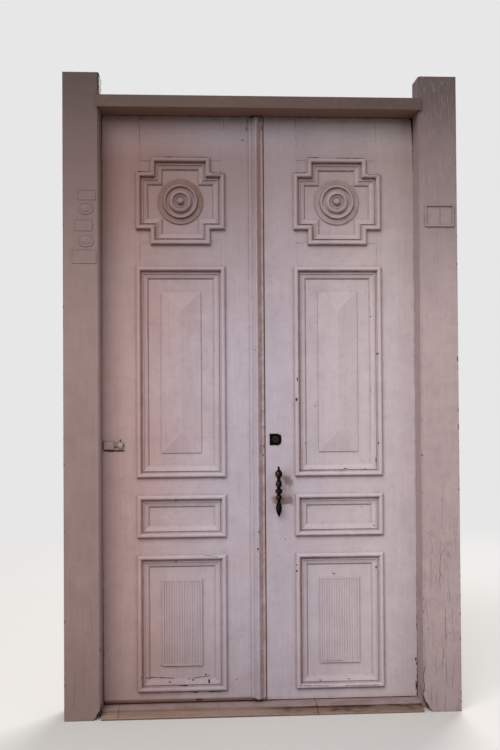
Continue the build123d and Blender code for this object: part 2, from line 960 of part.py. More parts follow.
grip_stretches = (
    (pull_drop_length, pull_drop_radius),
    (pull_waist_length, pull_waist_radius),
    (pull_ball_length, pull_ball_radius),
    (pull_collar_length, pull_neck_radius),
    (pull_ring_length, pull_ring_radius),
    (pull_collar_length, pull_neck_radius),
    (pull_bulb_length, pull_bulb_radius),
    (pull_throat_length, pull_waist_radius),
    (pull_crown_length, pull_crown_radius),
)
finial_foot = pull_tip_length + sum(length for length, radius in grip_stretches)
pull_length = finial_foot + pull_finial_length
pull_x = right_meeting_edge + pull_offset
pull_foot = leaf_bottom + pull_top - pull_length

with BuildPart() as pull_handle:
    grip_axis = (pull_x, -pull_stand, pull_foot)
    with BuildSketch(turning_plane(grip_axis, upward)):
        with BuildLine():
            Polyline((0, 0), (pull_tip_radius, 0), (pull_neck_radius, pull_tip_length))
            rise = pull_tip_length
            for length, radius in grip_stretches:
                low_end = (pull_neck_radius, rise)
                high_end = (pull_neck_radius, rise + length)
                if radius == pull_neck_radius:
                    Line(low_end, high_end)
                else:
                    ThreePointArc(low_end, (radius, rise + length / 2), high_end)
                rise += length
            Polyline(
                (pull_neck_radius, finial_foot),
                (pull_finial_radius, finial_foot + pull_finial_bevel),
                (pull_finial_radius, pull_length - pull_finial_bevel),
                (pull_finial_radius - pull_finial_bevel, pull_length),
                (0, pull_length),
                (0, 0),
            )
        make_face()
    revolve(axis=Axis(grip_axis, upward))
    drop_middle = pull_tip_length + pull_drop_length / 2
    crown_middle = finial_foot - pull_crown_length / 2
    for stud_rise in (drop_middle, crown_middle):
        foot = (pull_x, 0, pull_foot + stud_rise)
        turn_cylinder(foot, street, pull_rose_radius, pull_rose_thickness)
        turn_cylinder(foot, street, pull_stud_radius, pull_stand)


# Latch beside the left post

latch_start = -half_opening + latch_post_gap
latch_z = leaf_bottom + latch_level
latch_knob_x = latch_start + latch_length - latch_knob_radius - latch_knob_margin
latch_bar_y = -latch_case_relief / 2 - latch_plate / 2

with BuildPart() as latch_case:
    box_between(
        (latch_start, -latch_plate, latch_z - latch_height / 2),
        (latch_start + latch_length, 0, latch_z + latch_height / 2),
    )
    with BuildSketch(Plane.XZ.offset(latch_plate)):
        with Locations((latch_start + latch_case_length / 2, latch_z)):
            Rectangle(latch_case_length, latch_height - 2 * latch_case_margin)
    extrude(amount=latch_case_relief - latch_plate)
    fillet(latch_case.edges().group_by(Axis.Y)[0], latch_case_round)
    turn_cylinder((latch_start, latch_bar_y, latch_z), (1, 0, 0), latch_bar_radius + plug_clearance,
                  latch_case_length, Mode.SUBTRACT)

with BuildPart() as latch_bolt:
    turn_cylinder((latch_start, latch_bar_y, latch_z), (1, 0, 0), latch_bar_radius,
                  latch_knob_x - latch_start)
    knob_foot = (latch_knob_x, -latch_plate, latch_z)
    with BuildSketch(turning_plane(knob_foot, street)):
        with BuildLine():
            Polyline(
                (0, 0),
                (latch_knob_neck_radius, 0),
                (latch_knob_neck_radius, latch_knob_neck_length),
            )
            ThreePointArc(
                (latch_knob_neck_radius, latch_knob_neck_length),
                (latch_knob_radius, latch_knob_ball_height),
                (latch_knob_crown_radius, latch_knob_crown_height),
            )
            Polyline(
                (latch_knob_crown_radius, latch_knob_crown_height),
                (latch_knob_flat_radius, latch_knob_height),
                (0, latch_knob_height),
                (0, 0),
            )
        make_face()
    revolve(axis=Axis(knob_foot, street))


# Surface bolts inside the left leaf

rod_x = left_meeting_edge - rod_offset
rod_back = leaf_thickness + bolt_plate_thickness + rod_clearance
rod_front = rod_back + rod_thickness


def draw_staple(base_y, feet):
    """Bridge over a rod, seen from above; feet turn out along the face at base_y."""
    inner = rod_width / 2 + rod_clearance
    outer = inner + staple_wall
    crown = rod_front + rod_clearance
    foot = outer + feet
    Polyline(
        (rod_x - inner, base_y),
        (rod_x - inner, crown),
        (rod_x + inner, crown),
        (rod_x + inner, base_y),
        (rod_x + foot, base_y),
        (rod_x + foot, base_y + staple_wall),
        (rod_x + outer, base_y + staple_wall),
        (rod_x + outer, crown + staple_wall),
        (rod_x - outer, crown + staple_wall),
        (rod_x - outer, base_y + staple_wall),
        (rod_x - foot, base_y + staple_wall),
        (rod_x - foot, base_y),
        close=True,
    )


def make_bolt_plate(end_z, inward):
    """Plate with two staples; end_z is the end nearest the keeper, inward leads away from it."""
    far_z = end_z + inward * bolt_plate_length
    low_z, high_z = sorted((end_z, far_z))
    with BuildPart() as plate:
        box_between(
            (rod_x - bolt_plate_width / 2, leaf_thickness, low_z),
            (rod_x + bolt_plate_width / 2, leaf_thickness + bolt_plate_thickness, high_z),
        )
        for staple_z in (low_z, high_z - staple_length):
            with BuildSketch(Plane.XY.offset(staple_z)):
                with BuildLine():
                    draw_staple(leaf_thickness + bolt_plate_thickness, staple_foot)
                make_face()
            extrude(amount=staple_length)
    return plate.part


def make_rod(tip_z, inward):
    """A flat rod with its knob; the tip is chamfered."""
    low_z, high_z = sorted((tip_z, tip_z + inward * rod_length))
    knob_z = tip_z + inward * (rod_rest_gap + bolt_plate_inset + bolt_plate_length / 2)
    with BuildPart() as rod:
        box_between(
            (rod_x - rod_width / 2, rod_back, low_z),
            (rod_x + rod_width / 2, rod_front, high_z),
        )
        tip_edges = rod.edges().group_by(Axis.Z)[0 if inward > 0 else -1]
        chamfer(tip_edges, rod_tip_bevel)
        turn_cylinder((rod_x, rod_front, knob_z), house, rod_knob_radius, rod_knob_length)
        fillet(rod.edges().group_by(Axis.Y)[-1], rod_knob_round)
    return rod.part


def make_keepers():
    """Staples on the backs of the head bar and of the threshold."""
    keepers = []
    head_keeper_low = leaf_top + leaf_head_gap + head_keeper_rise
    sill_keeper_low = threshold_thickness - sill_keeper_drop - keeper_length
    for low_z in (head_keeper_low, sill_keeper_low):
        with BuildPart() as keeper:
            with BuildSketch(Plane.XY.offset(low_z)):
                with BuildLine():
                    draw_staple(leaf_thickness, staple_foot)
                make_face()
            extrude(amount=keeper_length)
        keepers.append(keeper.part)
    return keepers


# Write the leaves

for leaf in leaves:
    side = leaf.side
    hinge_stile = make_stile(leaf.hinge_x, leaf.outer_x)
    with BuildPart() as pocketed_stile:
        add(hinge_stile)
        for level in hinge_levels:
            hinge_pocket(leaf.hinge_x, -leaf.sign, leaf_bottom + level)
    save(pocketed_stile.part, f"{side}_hinge_stile")
    meeting_stile = make_stile(leaf.meeting_x, leaf.inner_x)
    if side == "right":
        with BuildPart() as bored_stile:
            add(meeting_stile)
            turn_cylinder(lock_axis, house, cylinder_radius + plug_clearance, leaf_thickness,
                          Mode.SUBTRACT)
        meeting_stile = bored_stile.part
    save(meeting_stile, f"{side}_meeting_stile")
    for name in rail_spans():
        save(make_rail(leaf, name), f"{side}_{name}")
    save(make_corner_blocks(leaf), f"{side}_corner_blocks")
    save(make_flat_panel(leaf, "cross"), f"{side}_cross_panel")
    save(make_hipped_panel(leaf), f"{side}_tall_panel")
    save(make_flat_panel(leaf, "small"), f"{side}_small_panel")
    save(make_reeded_panel(leaf), f"{side}_low_panel")
    for kind in moulding_levels:
        save(make_moulding(leaf, kind), f"{side}_{kind}_moulding")
    save(make_rosette(leaf), f"{side}_rosette")
    leaf_plates = make_hinge_plates(leaf.sign, leaf.hinge_x, -leaf.sign, (1,))
    save(group(leaf_plates), f"{side}_hinge_plates")

jamb_plates = [
    plate
    for leaf in leaves
    for plate in make_hinge_plates(leaf.sign, leaf.sign * rebate_half, leaf.sign, (0, 2))
]
save(group(jamb_plates), "jamb_hinge_plates")
save(group(make_hinge_pins()), "hinge_pins")
save(group(make_keepers()), "rod_keepers")
save(make_astragal(), "astragal")
save(lock_rose.part, "lock_rose")
save(lock_cylinder.part, "lock_cylinder")
save(lock_plug.part, "lock_plug")
save(turn_knob.part, "lock_turn_knob")
save(lock_case.part, "lock_case")
save(lock_bolt.part, "lock_bolt")
save(lock_keep.part, "lock_keep")
save(pull_handle.part, "pull_handle")
save(latch_case.part, "latch_case")
save(latch_bolt.part, "latch_bolt")
save(make_bolt_plate(leaf_top - bolt_plate_inset, -1), "top_rod_plate")
save(make_rod(leaf_top - rod_rest_gap, -1), "top_rod")
save(make_bolt_plate(leaf_bottom + bolt_plate_inset, 1), "bottom_rod_plate")
save(make_rod(leaf_bottom + rod_rest_gap, 1), "bottom_rod")
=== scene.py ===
"""Looks of the two-leaf carved wooden street door: old paint, wear, small fasteners, light, camera.

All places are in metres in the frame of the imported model: +X to the right as seen from the
street, the street towards -Y, +Z up, the leaves' street face at y = 0.
"""

import json
import math
import random

import bpy
from mathutils import Matrix, Vector
from mathutils.bvhtree import BVHTree


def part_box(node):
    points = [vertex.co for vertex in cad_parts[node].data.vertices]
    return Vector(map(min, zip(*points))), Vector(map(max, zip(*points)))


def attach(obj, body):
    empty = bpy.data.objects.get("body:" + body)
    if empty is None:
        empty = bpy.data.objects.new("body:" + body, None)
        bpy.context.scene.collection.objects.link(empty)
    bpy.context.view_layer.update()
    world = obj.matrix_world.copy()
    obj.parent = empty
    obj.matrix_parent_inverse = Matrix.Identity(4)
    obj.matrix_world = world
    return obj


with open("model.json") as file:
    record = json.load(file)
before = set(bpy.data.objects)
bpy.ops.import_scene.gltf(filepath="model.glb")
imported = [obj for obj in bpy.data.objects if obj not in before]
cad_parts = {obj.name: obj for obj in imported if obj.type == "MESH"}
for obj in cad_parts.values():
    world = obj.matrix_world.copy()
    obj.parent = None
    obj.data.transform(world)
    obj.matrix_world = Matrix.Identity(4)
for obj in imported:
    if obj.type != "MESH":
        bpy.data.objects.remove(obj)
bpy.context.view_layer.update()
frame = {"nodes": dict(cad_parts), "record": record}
nodes = frame["nodes"]
mm = 0.001

# Camera, worked out from the door's own lines in the photograph
image_width = 500
image_height = 750
focal_pixels = 973.567
sensor_height = 36.0
camera_place = Vector((-0.2833, -4.0003, 1.2961))
camera_yaw = 0.0604
camera_pitch = 0.0166
camera_roll = -0.0064
pixel_size = 4.15 * mm  # a photograph pixel on the door's face


def camera_axes():
    """Right, up and forward of the camera as unit vectors."""
    forward = Vector((
        math.sin(camera_yaw) * math.cos(camera_pitch),
        math.cos(camera_yaw) * math.cos(camera_pitch),
        math.sin(camera_pitch),
    ))
    level_right = Vector((math.cos(camera_yaw), -math.sin(camera_yaw), 0))
    level_up = level_right.cross(forward)
    right = level_right * math.cos(camera_roll) + level_up * math.sin(camera_roll)
    up = level_up * math.cos(camera_roll) - level_right * math.sin(camera_roll)
    return right, up, forward


def make_camera():
    data = bpy.data.cameras.new("camera")
    data.sensor_fit = "VERTICAL"
    data.sensor_height = sensor_height
    data.sensor_width = sensor_height
    data.lens = focal_pixels * sensor_height / image_height
    camera = bpy.data.objects.new("camera", data)
    bpy.context.scene.collection.objects.link(camera)
    right, up, forward = camera_axes()
    turn = Matrix((right, up, -forward)).transposed()
    camera.matrix_world = Matrix.Translation(camera_place) @ turn.to_4x4()
    bpy.context.scene.camera = camera


def photo_ray(u, v):
    """Direction from the camera through a pixel of the photograph."""
    right, up, forward = camera_axes()
    across = (u - image_width / 2) / focal_pixels
    down = (v - image_height / 2) / focal_pixels
    return (forward + right * across - up * down).normalized()


def plane_place(u, v, y):
    """Where the ray through a photograph pixel meets the plane at y."""
    ray = photo_ray(u, v)
    return camera_place + ray * ((y - camera_place.y) / ray.y)


# Node trees


class Value:
    """An output of a node, to reckon with as if it were a number, a vector or a colour."""

    def __init__(self, tree, socket):
        self.tree = tree
        self.socket = socket

    def __add__(self, other):
        return self.tree.math("ADD", self, other)

    def __sub__(self, other):
        return self.tree.math("SUBTRACT", self, other)

    def __rsub__(self, other):
        return self.tree.math("SUBTRACT", other, self)

    def __mul__(self, other):
        return self.tree.math("MULTIPLY", self, other)

    def __pow__(self, other):
        return self.tree.math("POWER", self, other)

    def __abs__(self):
        return self.tree.math("ABSOLUTE", self)

    def span(self, low, high, first, last, **settings):
        """From first to last while this value goes from low to high."""
        ends = {"From Min": low, "From Max": high, "To Min": first, "To Max": last}
        return self.tree.add("ShaderNodeMapRange", {"Value": self, **ends}, **settings)

    def rise(self, low, high):
        """Smooth step from 0 at low to 1 at high."""
        return self.span(low, high, 0.0, 1.0, interpolation_type="SMOOTHSTEP")

    def fall(self, low, high):
        """Smooth step from 1 at low to 0 at high."""
        return self.span(low, high, 1.0, 0.0, interpolation_type="SMOOTHSTEP")

    def tint(self, share, colour):
        """This colour, taken a share of the way to another."""
        return self.tree.mix(share, self, colour)

    def split(self):
        """The x, y and z of a vector."""
        parts = self.tree.add("ShaderNodeSeparateXYZ", {0: self}).socket.node.outputs
        return [Value(self.tree, part) for part in parts]

    def stretch(self, scale, place=(0.0, 0.0, 0.0)):
        inputs = {"Vector": self, "Scale": scale, "Location": place}
        return self.tree.add("ShaderNodeMapping", inputs)

    def noise(self, scale, detail, roughness, distortion=0.0):
        return self.tree.add("ShaderNodeTexNoise", {
            "Vector": self, "Scale": scale, "Detail": detail, "Roughness": roughness,
            "Distortion": distortion,
        })


class Nodes:
    """A small writer of node trees: most calls add a node and return one of its outputs."""

    def __init__(self, tree):
        self.tree = tree
        self.tree.nodes.clear()

    def join(self, source, entry):
        """Give an input a link from another node, or a value of its own."""
        if isinstance(source, Value):
            self.tree.links.new(source.socket, entry)
        else:
            entry.default_value = source

    def add(self, kind, inputs=None, output=0, **settings):
        node = self.tree.nodes.new(kind)
        for key, value in settings.items():
            setattr(node, key, value)
        for key, source in (inputs or {}).items():
            self.join(source, node.inputs[key])
        return Value(self, node.outputs[output])

    def math(self, operation, first, second=0.0, clamp=False):
        return self.add("ShaderNodeMath", {0: first, 1: second}, operation=operation,
                        use_clamp=clamp)

    def mix(self, share, first, second):
        """One colour taken a share of the way to another; plain ones are screen values."""
        first, second = (colour if isinstance(colour, Value) else linear(colour)
                         for colour in (first, second))
        return self.add("ShaderNodeMix", {0: share, 6: first, 7: second}, output=2,
                        data_type="RGBA")

    def openness(self, distance, samples=4):
        """One where nothing is near, towards nothing in a corner."""
        return self.add("ShaderNodeAmbientOcclusion", {"Distance": distance}, output=1,
                        samples=samples)

    def rounded(self, radius):
        """The normal, as if the edges were rounded."""
        return self.add("ShaderNodeBevel", {"Radius": radius}, samples=4)

    def end(self, kind, surface):
        """Close the tree with its output node."""
        self.join(surface, self.tree.nodes.new(kind).inputs["Surface"])

    def surface(self, colour, rough, sheen, height, relief, depth, normal=None, metallic=0.0):
        """Close a material with a glossy surface that a height roughens."""
        bump = {"Height": height, "Strength": relief, "Distance": depth}
        if normal is not None:
            bump["Normal"] = normal
        self.end("ShaderNodeOutputMaterial", self.add("ShaderNodeBsdfPrincipled", {
            "Base Color": colour, "Metallic": metallic, "Roughness": rough,
            "Specular IOR Level": sheen, "Normal": self.add("ShaderNodeBump", bump),
        }))


def linear(colour):
    """A colour written as 0 to 255 screen values, as linear light with full alpha."""
    def one(value):
        share = value / 255
        return share / 12.92 if share <= 0.04045 else ((share + 0.055) / 1.055) ** 2.4
    return tuple(one(value) for value in colour) + (1.0,)


def new_material(name):
    """A material, the writer of its nodes and the place of each point in the door's frame."""
    material = bpy.data.materials.new(name)
    material.use_nodes = True
    tree = Nodes(material.node_tree)
    return material, tree, tree.add("ShaderNodeTexCoord", output=3)


# Colours, as screen values. A paint has three: by the left post, in the middle, at the right
# The leaves' warmer left colour is painted warm light
leaf_colours = ((182, 154, 152), (190, 178, 188), (202, 188, 192))
left_post_colours = ((152, 128, 125),) * 3
right_post_colours = ((182, 162, 163),) * 3
head_colours = ((84, 64, 59), (86, 66, 62), (84, 65, 61))
latch_colours = ((172, 148, 145),) * 3
grime_and_shade_dark = (84, 64, 55)
paint_soot = (120, 94, 88)
eaves_shade_brown = (74, 50, 42)
reveal_brown = (99, 62, 44)
reveal_dark = (40, 33, 30)
paint_flake = (214, 210, 218)
rosette_brown = (108, 78, 66)
flank_brown_and_shade = (148, 108, 92)
head_dirt_and_shade = (96, 72, 52)
head_underside_light = (128, 98, 84)
foot_stain_and_shade = (86, 50, 26)
lee_shade_brown = (160, 114, 96)
quirk_wood_and_shade_brown = (152, 114, 98)
pull_stain = (112, 80, 74)
wood_bare = (78, 54, 42)
wood_dark = (34, 23, 18)
sill_bare = (164, 138, 128)
sill_aged = (140, 115, 106)
sill_ochre = (142, 114, 98)
sill_paint = (158, 139, 138)
sill_grime_and_shade = (66, 47, 40)
sill_mauve = (172, 152, 156)
timber_dark = (66, 48, 40)
timber_light = (134, 108, 94)
felt_dark = (84, 66, 60)
felt_light = (112, 90, 82)
metal_dark = (11, 6, 5)
metal_gold = (182, 140, 98)
metal_green = (14, 11, 8)
rose_black = (10, 7, 6)
rose_stain = (9, 7, 6)
brass_dull = (40, 35, 31)
brass_dark = (24, 20, 17)
knob_cream = (182, 158, 136)
knob_worn = (140, 112, 94)
steel_aged = (112, 106, 100)
steel_rust = (92, 58, 40)
floor_lit = (160, 154, 148)
floor_seen = (224, 222, 219)

# Where painted shade, painted warm light and dirt come and go, as ranges of x, y or z in metres
warm_light_side = (-0.58, -0.10)
right_side = (0.12, 0.45)
leaf_parting = (-0.06, 0.06)
eaves_heights = (1.72, 2.46)
foot_heights = (0.02, 0.5)
leaf_reveal_start = (1.25, 2.20)
leaf_reveal_end = (2.24, 2.37)
leaf_reveal_depth = (0.014, 0.020)
leaf_reveal_side = (-0.05, 0.10)
post_reveal_heights = (1.45, 1.95)
post_horn_heights = (2.28, 2.56)
crack_heights = (0.15, 1.25)
head_dirt_and_shade_heights = (2.398, 2.433)
foot_stain_and_shade_heights = (0.038, 0.050)
street_face = (0.002, 0.004)
stain_face = (0.001, 0.003)
rosette_sides = (-0.1, 0.1)
tread_level = 0.0195
tread_heights = (tread_level, 0.0225)
sill_right = (-0.05, 0.15)

# Rings of dirt and painted shade on the rosettes: radius and width in metres, strength
rosette_rings = (
    (0.0715, 0.0042, 0.55), (0.0178, 0.0042, 0.60), (0.0525, 0.0036, 0.22), (0.0935, 0.0030, 0.40),
)


def crack_mask(place, z_axis, grain_axis, amount):
    """Thin wandering checks along the grain, most of them in the lower half."""
    tree = place.tree
    stretched = place.stretch({"x": (3.0, 60.0, 60.0), "z": (60.0, 60.0, 2.4)}[grain_axis])
    wander = tree.add("ShaderNodeTexNoise", {"Vector": place, "Scale": 14.0}, output=1)
    wander = tree.add("ShaderNodeVectorMath", {0: wander, 1: (1.7, 1.7, 1.7)},
                      operation="MULTIPLY")
    moved = tree.add("ShaderNodeVectorMath", {0: stretched, 1: wander}, operation="ADD")
    cell = tree.add("ShaderNodeTexVoronoi", {"Vector": moved, "Scale": 1.0},
                    feature="DISTANCE_TO_EDGE")
    where = place.noise(5.5, 4.0, 0.6).rise(0.45, 0.62)
    where = where * (z_axis.fall(*crack_heights) * 0.85 + 0.15)
    return cell.fall(0.0, 0.04) * where * amount


def box_mask(x_axis, z_axis, span, blur, noise):
    """One inside a box of x and z, with a ragged edge."""
    low_x, high_x, low_z, high_z = span
    left, right, foot, top = blur
    ragged = (noise - 0.5) * 0.02
    x_ragged, z_ragged = x_axis + ragged, z_axis + ragged
    mask = x_ragged.rise(low_x, low_x + left) * x_ragged.fall(high_x - right, high_x)
    return mask * z_ragged.rise(low_z, low_z + foot) * z_ragged.fall(high_z - top, high_z)


def rosette_dirt_and_shade(x_axis, z_axis, noise):
    """Dirt and painted shade on the rosettes: over the brim, more on its upper half, in the groove
    round the button, at the ring's foot.
    """
    low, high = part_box("left_rosette")
    centre = (low + high) / 2
    across, up = abs(x_axis) - abs(centre.x), z_axis - centre.z
    reach = (across * across + up * up) ** 0.5
    brim = reach.rise(0.0695, 0.0715) * (up.rise(-0.09, 0.09) + 0.55)
    total = brim * (noise * 0.35 + 0.30) + 0.16
    for radius, width, strength in rosette_rings:
        line = abs(reach - radius).fall(0.0006, width) * (noise * 0.5 + 0.5)
        total = total + line * strength
    less_right = x_axis.fall(*rosette_sides) * 0.45 + 0.55
    return x_axis.tree.math("MINIMUM", total, 0.9) * less_right


def leaf_reveal_shade(x_axis, y_axis, z_axis):
    """Shade on the leaves' upper street side, deepest by the crosses and deeper on the left."""
    high = z_axis.rise(*leaf_reveal_start) * z_axis.fall(*leaf_reveal_end)
    strength = 0.50 - x_axis.rise(*leaf_reveal_side) * 0.17
    return high * y_axis.fall(*leaf_reveal_depth) * strength


def post_reveal_shade(z_axis, to_street):
    """Shade on the posts, from shoulder height up and again on the horns."""
    high = z_axis.rise(*post_reveal_heights) * 0.25 + z_axis.rise(*post_horn_heights) * 0.40
    return high * to_street


def painted_wood(name, colours, grain_axis="z", wear=0.4, cracks=0.0, grime_and_shade=1.0, lee_shade=0.0,
                 flakes=0.0, top_shade=0.40, foot_shade=0.10, stains=(), brim=False, flank=None,
                 seams=(), sheltered=False, underside_light=None, quirk_wood_and_shade=0.0, reveal=None):
    """Old oil paint over timber: brush marks, dirt and painted shade in the quirks, painted shade
    and warm light by place, worn arrises, fine checks.
    """
    material, tree, place = new_material(name)
    x_axis, y_axis, z_axis = place.split()
    face_x, face_y, face_z = tree.add("ShaderNodeTexCoord", output=1).split()
    along = {"x": (6.0, 90.0, 90.0), "z": (90.0, 90.0, 5.0)}[grain_axis]
    patches = place.noise(2.4, 4.0, 0.55)
    cloud = place.noise(9.0, 6.0, 0.62, 0.4)
    speckle = place.noise(320.0, 3.0, 0.6)
    grain = place.stretch(along).noise(1.0, 5.0, 0.62)
    broken = place.noise(30.0, 6.0, 0.72).rise(0.28, 0.70)
    on_left = x_axis.fall(*leaf_parting)

    # Painted warm light beside the left post, cooler towards the meeting stiles, neutral at the
    # right and on the house side
    left, middle, right = colours
    warm_light_and_tone = tree.math("ADD", x_axis.rise(*warm_light_side), (patches - 0.5) * 0.8, clamp=True)
    neutral = tree.math("MAXIMUM", x_axis.rise(*right_side), face_y.rise(-0.2, 0.4))
    paint = tree.mix(neutral, tree.mix(warm_light_and_tone, left, middle), right)
    level = cloud.span(0.25, 0.75, 0.90, 1.08) * grain.span(0.3, 0.7, 0.95, 1.04)
    paint = tree.add("ShaderNodeVectorMath", {0: paint, 3: level}, operation="SCALE")

    # Shade under the head, at the foot and in the reveal
    to_street = face_y.rise(-0.3, -0.8) * 0.5 + 0.5
    head = z_axis.rise(*eaves_heights) * top_shade * to_street
    foot = z_axis.fall(*foot_heights) * foot_shade
    if reveal == "leaf":
        foot = foot * (on_left * 1.3 + 1.0)
    paint = paint.tint(head + foot, eaves_shade_brown)
    if reveal == "leaf":
        paint = paint.tint(leaf_reveal_shade(x_axis, y_axis, z_axis), reveal_brown)
    elif reveal == "post":
        paint = paint.tint(post_reveal_shade(z_axis, to_street), reveal_dark)

    # Fine flaking in upright streaks
    if flakes:
        flaked = place.stretch((420.0, 300.0, 16.0)).noise(1.0, 5.0, 0.7).rise(0.54, 0.66)
        paint = paint.tint(flaked * patches.rise(0.35, 0.6) * flakes, paint_flake)

    # Dirt and painted shade where faces meet, most of it on faces turned down, under what shelters
    # them
    near = tree.openness(0.014)
    weight = broken * 0.55 + face_z.fall(-0.75, 0.45) * 0.35
    crevice_dirt_and_shade = tree.math("MULTIPLY", near.fall(0.30, 0.92), weight * (0.62 * grime_and_shade), clamp=True)
    paint = paint.tint(broken.rise(0.55, 0.95) * (0.10 * grime_and_shade), paint_soot)
    # Brown in the deep quirks, most on each panel's left side and least on faces turned up: partly
    # bared wood and partly painted shade
    if quirk_wood_and_shade:
        low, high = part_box("right_tall_panel")
        panel_x = (low.x + high.x) / 2
        own_side = tree.math("MODULO", x_axis + 2 * panel_x, 2 * panel_x) - panel_x
        own_side = own_side.fall(-0.11, 0.02) * 0.85 + 0.15
        deep = tree.openness(0.03).fall(0.50, 0.88) * (broken * 0.5 + 0.5)
        deep = deep * face_z.fall(0.15, 0.6) * own_side
        paint = paint.tint(deep * quirk_wood_and_shade, quirk_wood_and_shade_brown)
    # Painted shade: brown on faces tilted right and down, away from the light, and darker on faces
    # turned down
    if lee_shade:
        away_from_light = (face_x - face_z).rise(0.30, 0.85) * face_y.rise(-0.995, -0.90)
        paint = paint.tint(away_from_light * (broken * 0.7 + 0.3) * lee_shade, lee_shade_brown)
        paint = paint.tint(face_z.rise(-0.25, -0.75) * (broken * 0.3 + 0.25), grime_and_shade_dark)
    paint = paint.tint(crevice_dirt_and_shade, grime_and_shade_dark)

    # Dirt, stains, painted shade and painted light that belong to one piece
    # Brown on the astragal's right flank, turned from the light: partly bared wood and partly
    # painted shade
    if flank:
        low_x, high_x = flank
        side = x_axis.rise(low_x, low_x + 3 * mm) * x_axis.fall(high_x - 1 * mm, high_x)
        paint = paint.tint(side * (broken * 0.55 + 0.14), flank_brown_and_shade)
    for seam in seams:
        line = abs(x_axis - seam).fall(0.0004, 0.0022) * cloud.rise(0.38, 0.56)
        paint = paint.tint(line * 0.75, grime_and_shade_dark)
    if sheltered:
        # Brown just under the head and orange-brown at the leaf's foot, partly dirt and partly
        # painted shade
        street = y_axis.fall(*street_face)
        under_head = z_axis.rise(*head_dirt_and_shade_heights) * street * (broken * 0.45 + 0.30)
        paint = paint.tint(under_head, head_dirt_and_shade)
        at_foot = z_axis.fall(*foot_stain_and_shade_heights) * street * (on_left * 0.75 + 0.08)
        paint = paint.tint(at_foot, foot_stain_and_shade)
    # A lighter ochre on faces turned down, partly the bar's own colour and partly painted light
    if underside_light:
        paint = paint.tint(face_z.rise(-0.5, -0.9), underside_light)
    if brim:
        paint = paint.tint(rosette_dirt_and_shade(x_axis, z_axis, broken), rosette_brown)
    for span, blur, strength in stains:
        mask = box_mask(x_axis, z_axis, span, blur, broken) * cloud.rise(0.12, 0.55)
        paint = paint.tint(mask * y_axis.fall(*stain_face) * strength, pull_stain)

    # Worn arrises: where the rounded normal leaves the true one, paint has chipped off
    rounded = tree.rounded(0.0022)
    true_normal = tree.add("ShaderNodeNewGeometry", output=1)
    turn = tree.add("ShaderNodeVectorMath", {0: rounded, 1: true_normal}, output=1,
                    operation="DOT_PRODUCT")
    edge = turn.fall(0.90, 0.995) * near.rise(0.55, 0.9)
    chip_edge = 0.70 - 0.13 * wear
    chip_noise = place.stretch((1.0, 1.0, 0.4)).noise(42.0, 6.0, 0.7)
    chipped = edge * chip_noise.rise(chip_edge, chip_edge + 0.03)
    paint = paint.tint(edge * cloud.rise(0.4, 0.7) * (0.25 * wear), wood_bare)
    paint = paint.tint(chipped, tree.mix(grain, wood_dark, wood_bare))

    height = grain * 0.55 + cloud * 0.35 + speckle * 0.12 - chipped * 1.2
    if cracks:
        crack_line = crack_mask(place, z_axis, grain_axis, cracks)
        paint = paint.tint(crack_line * 0.7, grime_and_shade_dark)
        height = height - crack_line * 1.6
    rough = tree.math("MAXIMUM", cloud.span(0.2, 0.8, 0.50, 0.68), chipped * 0.85)
    tree.surface(paint, rough, 0.32, height, 0.34, 1.3 * mm, rounded)
    return material


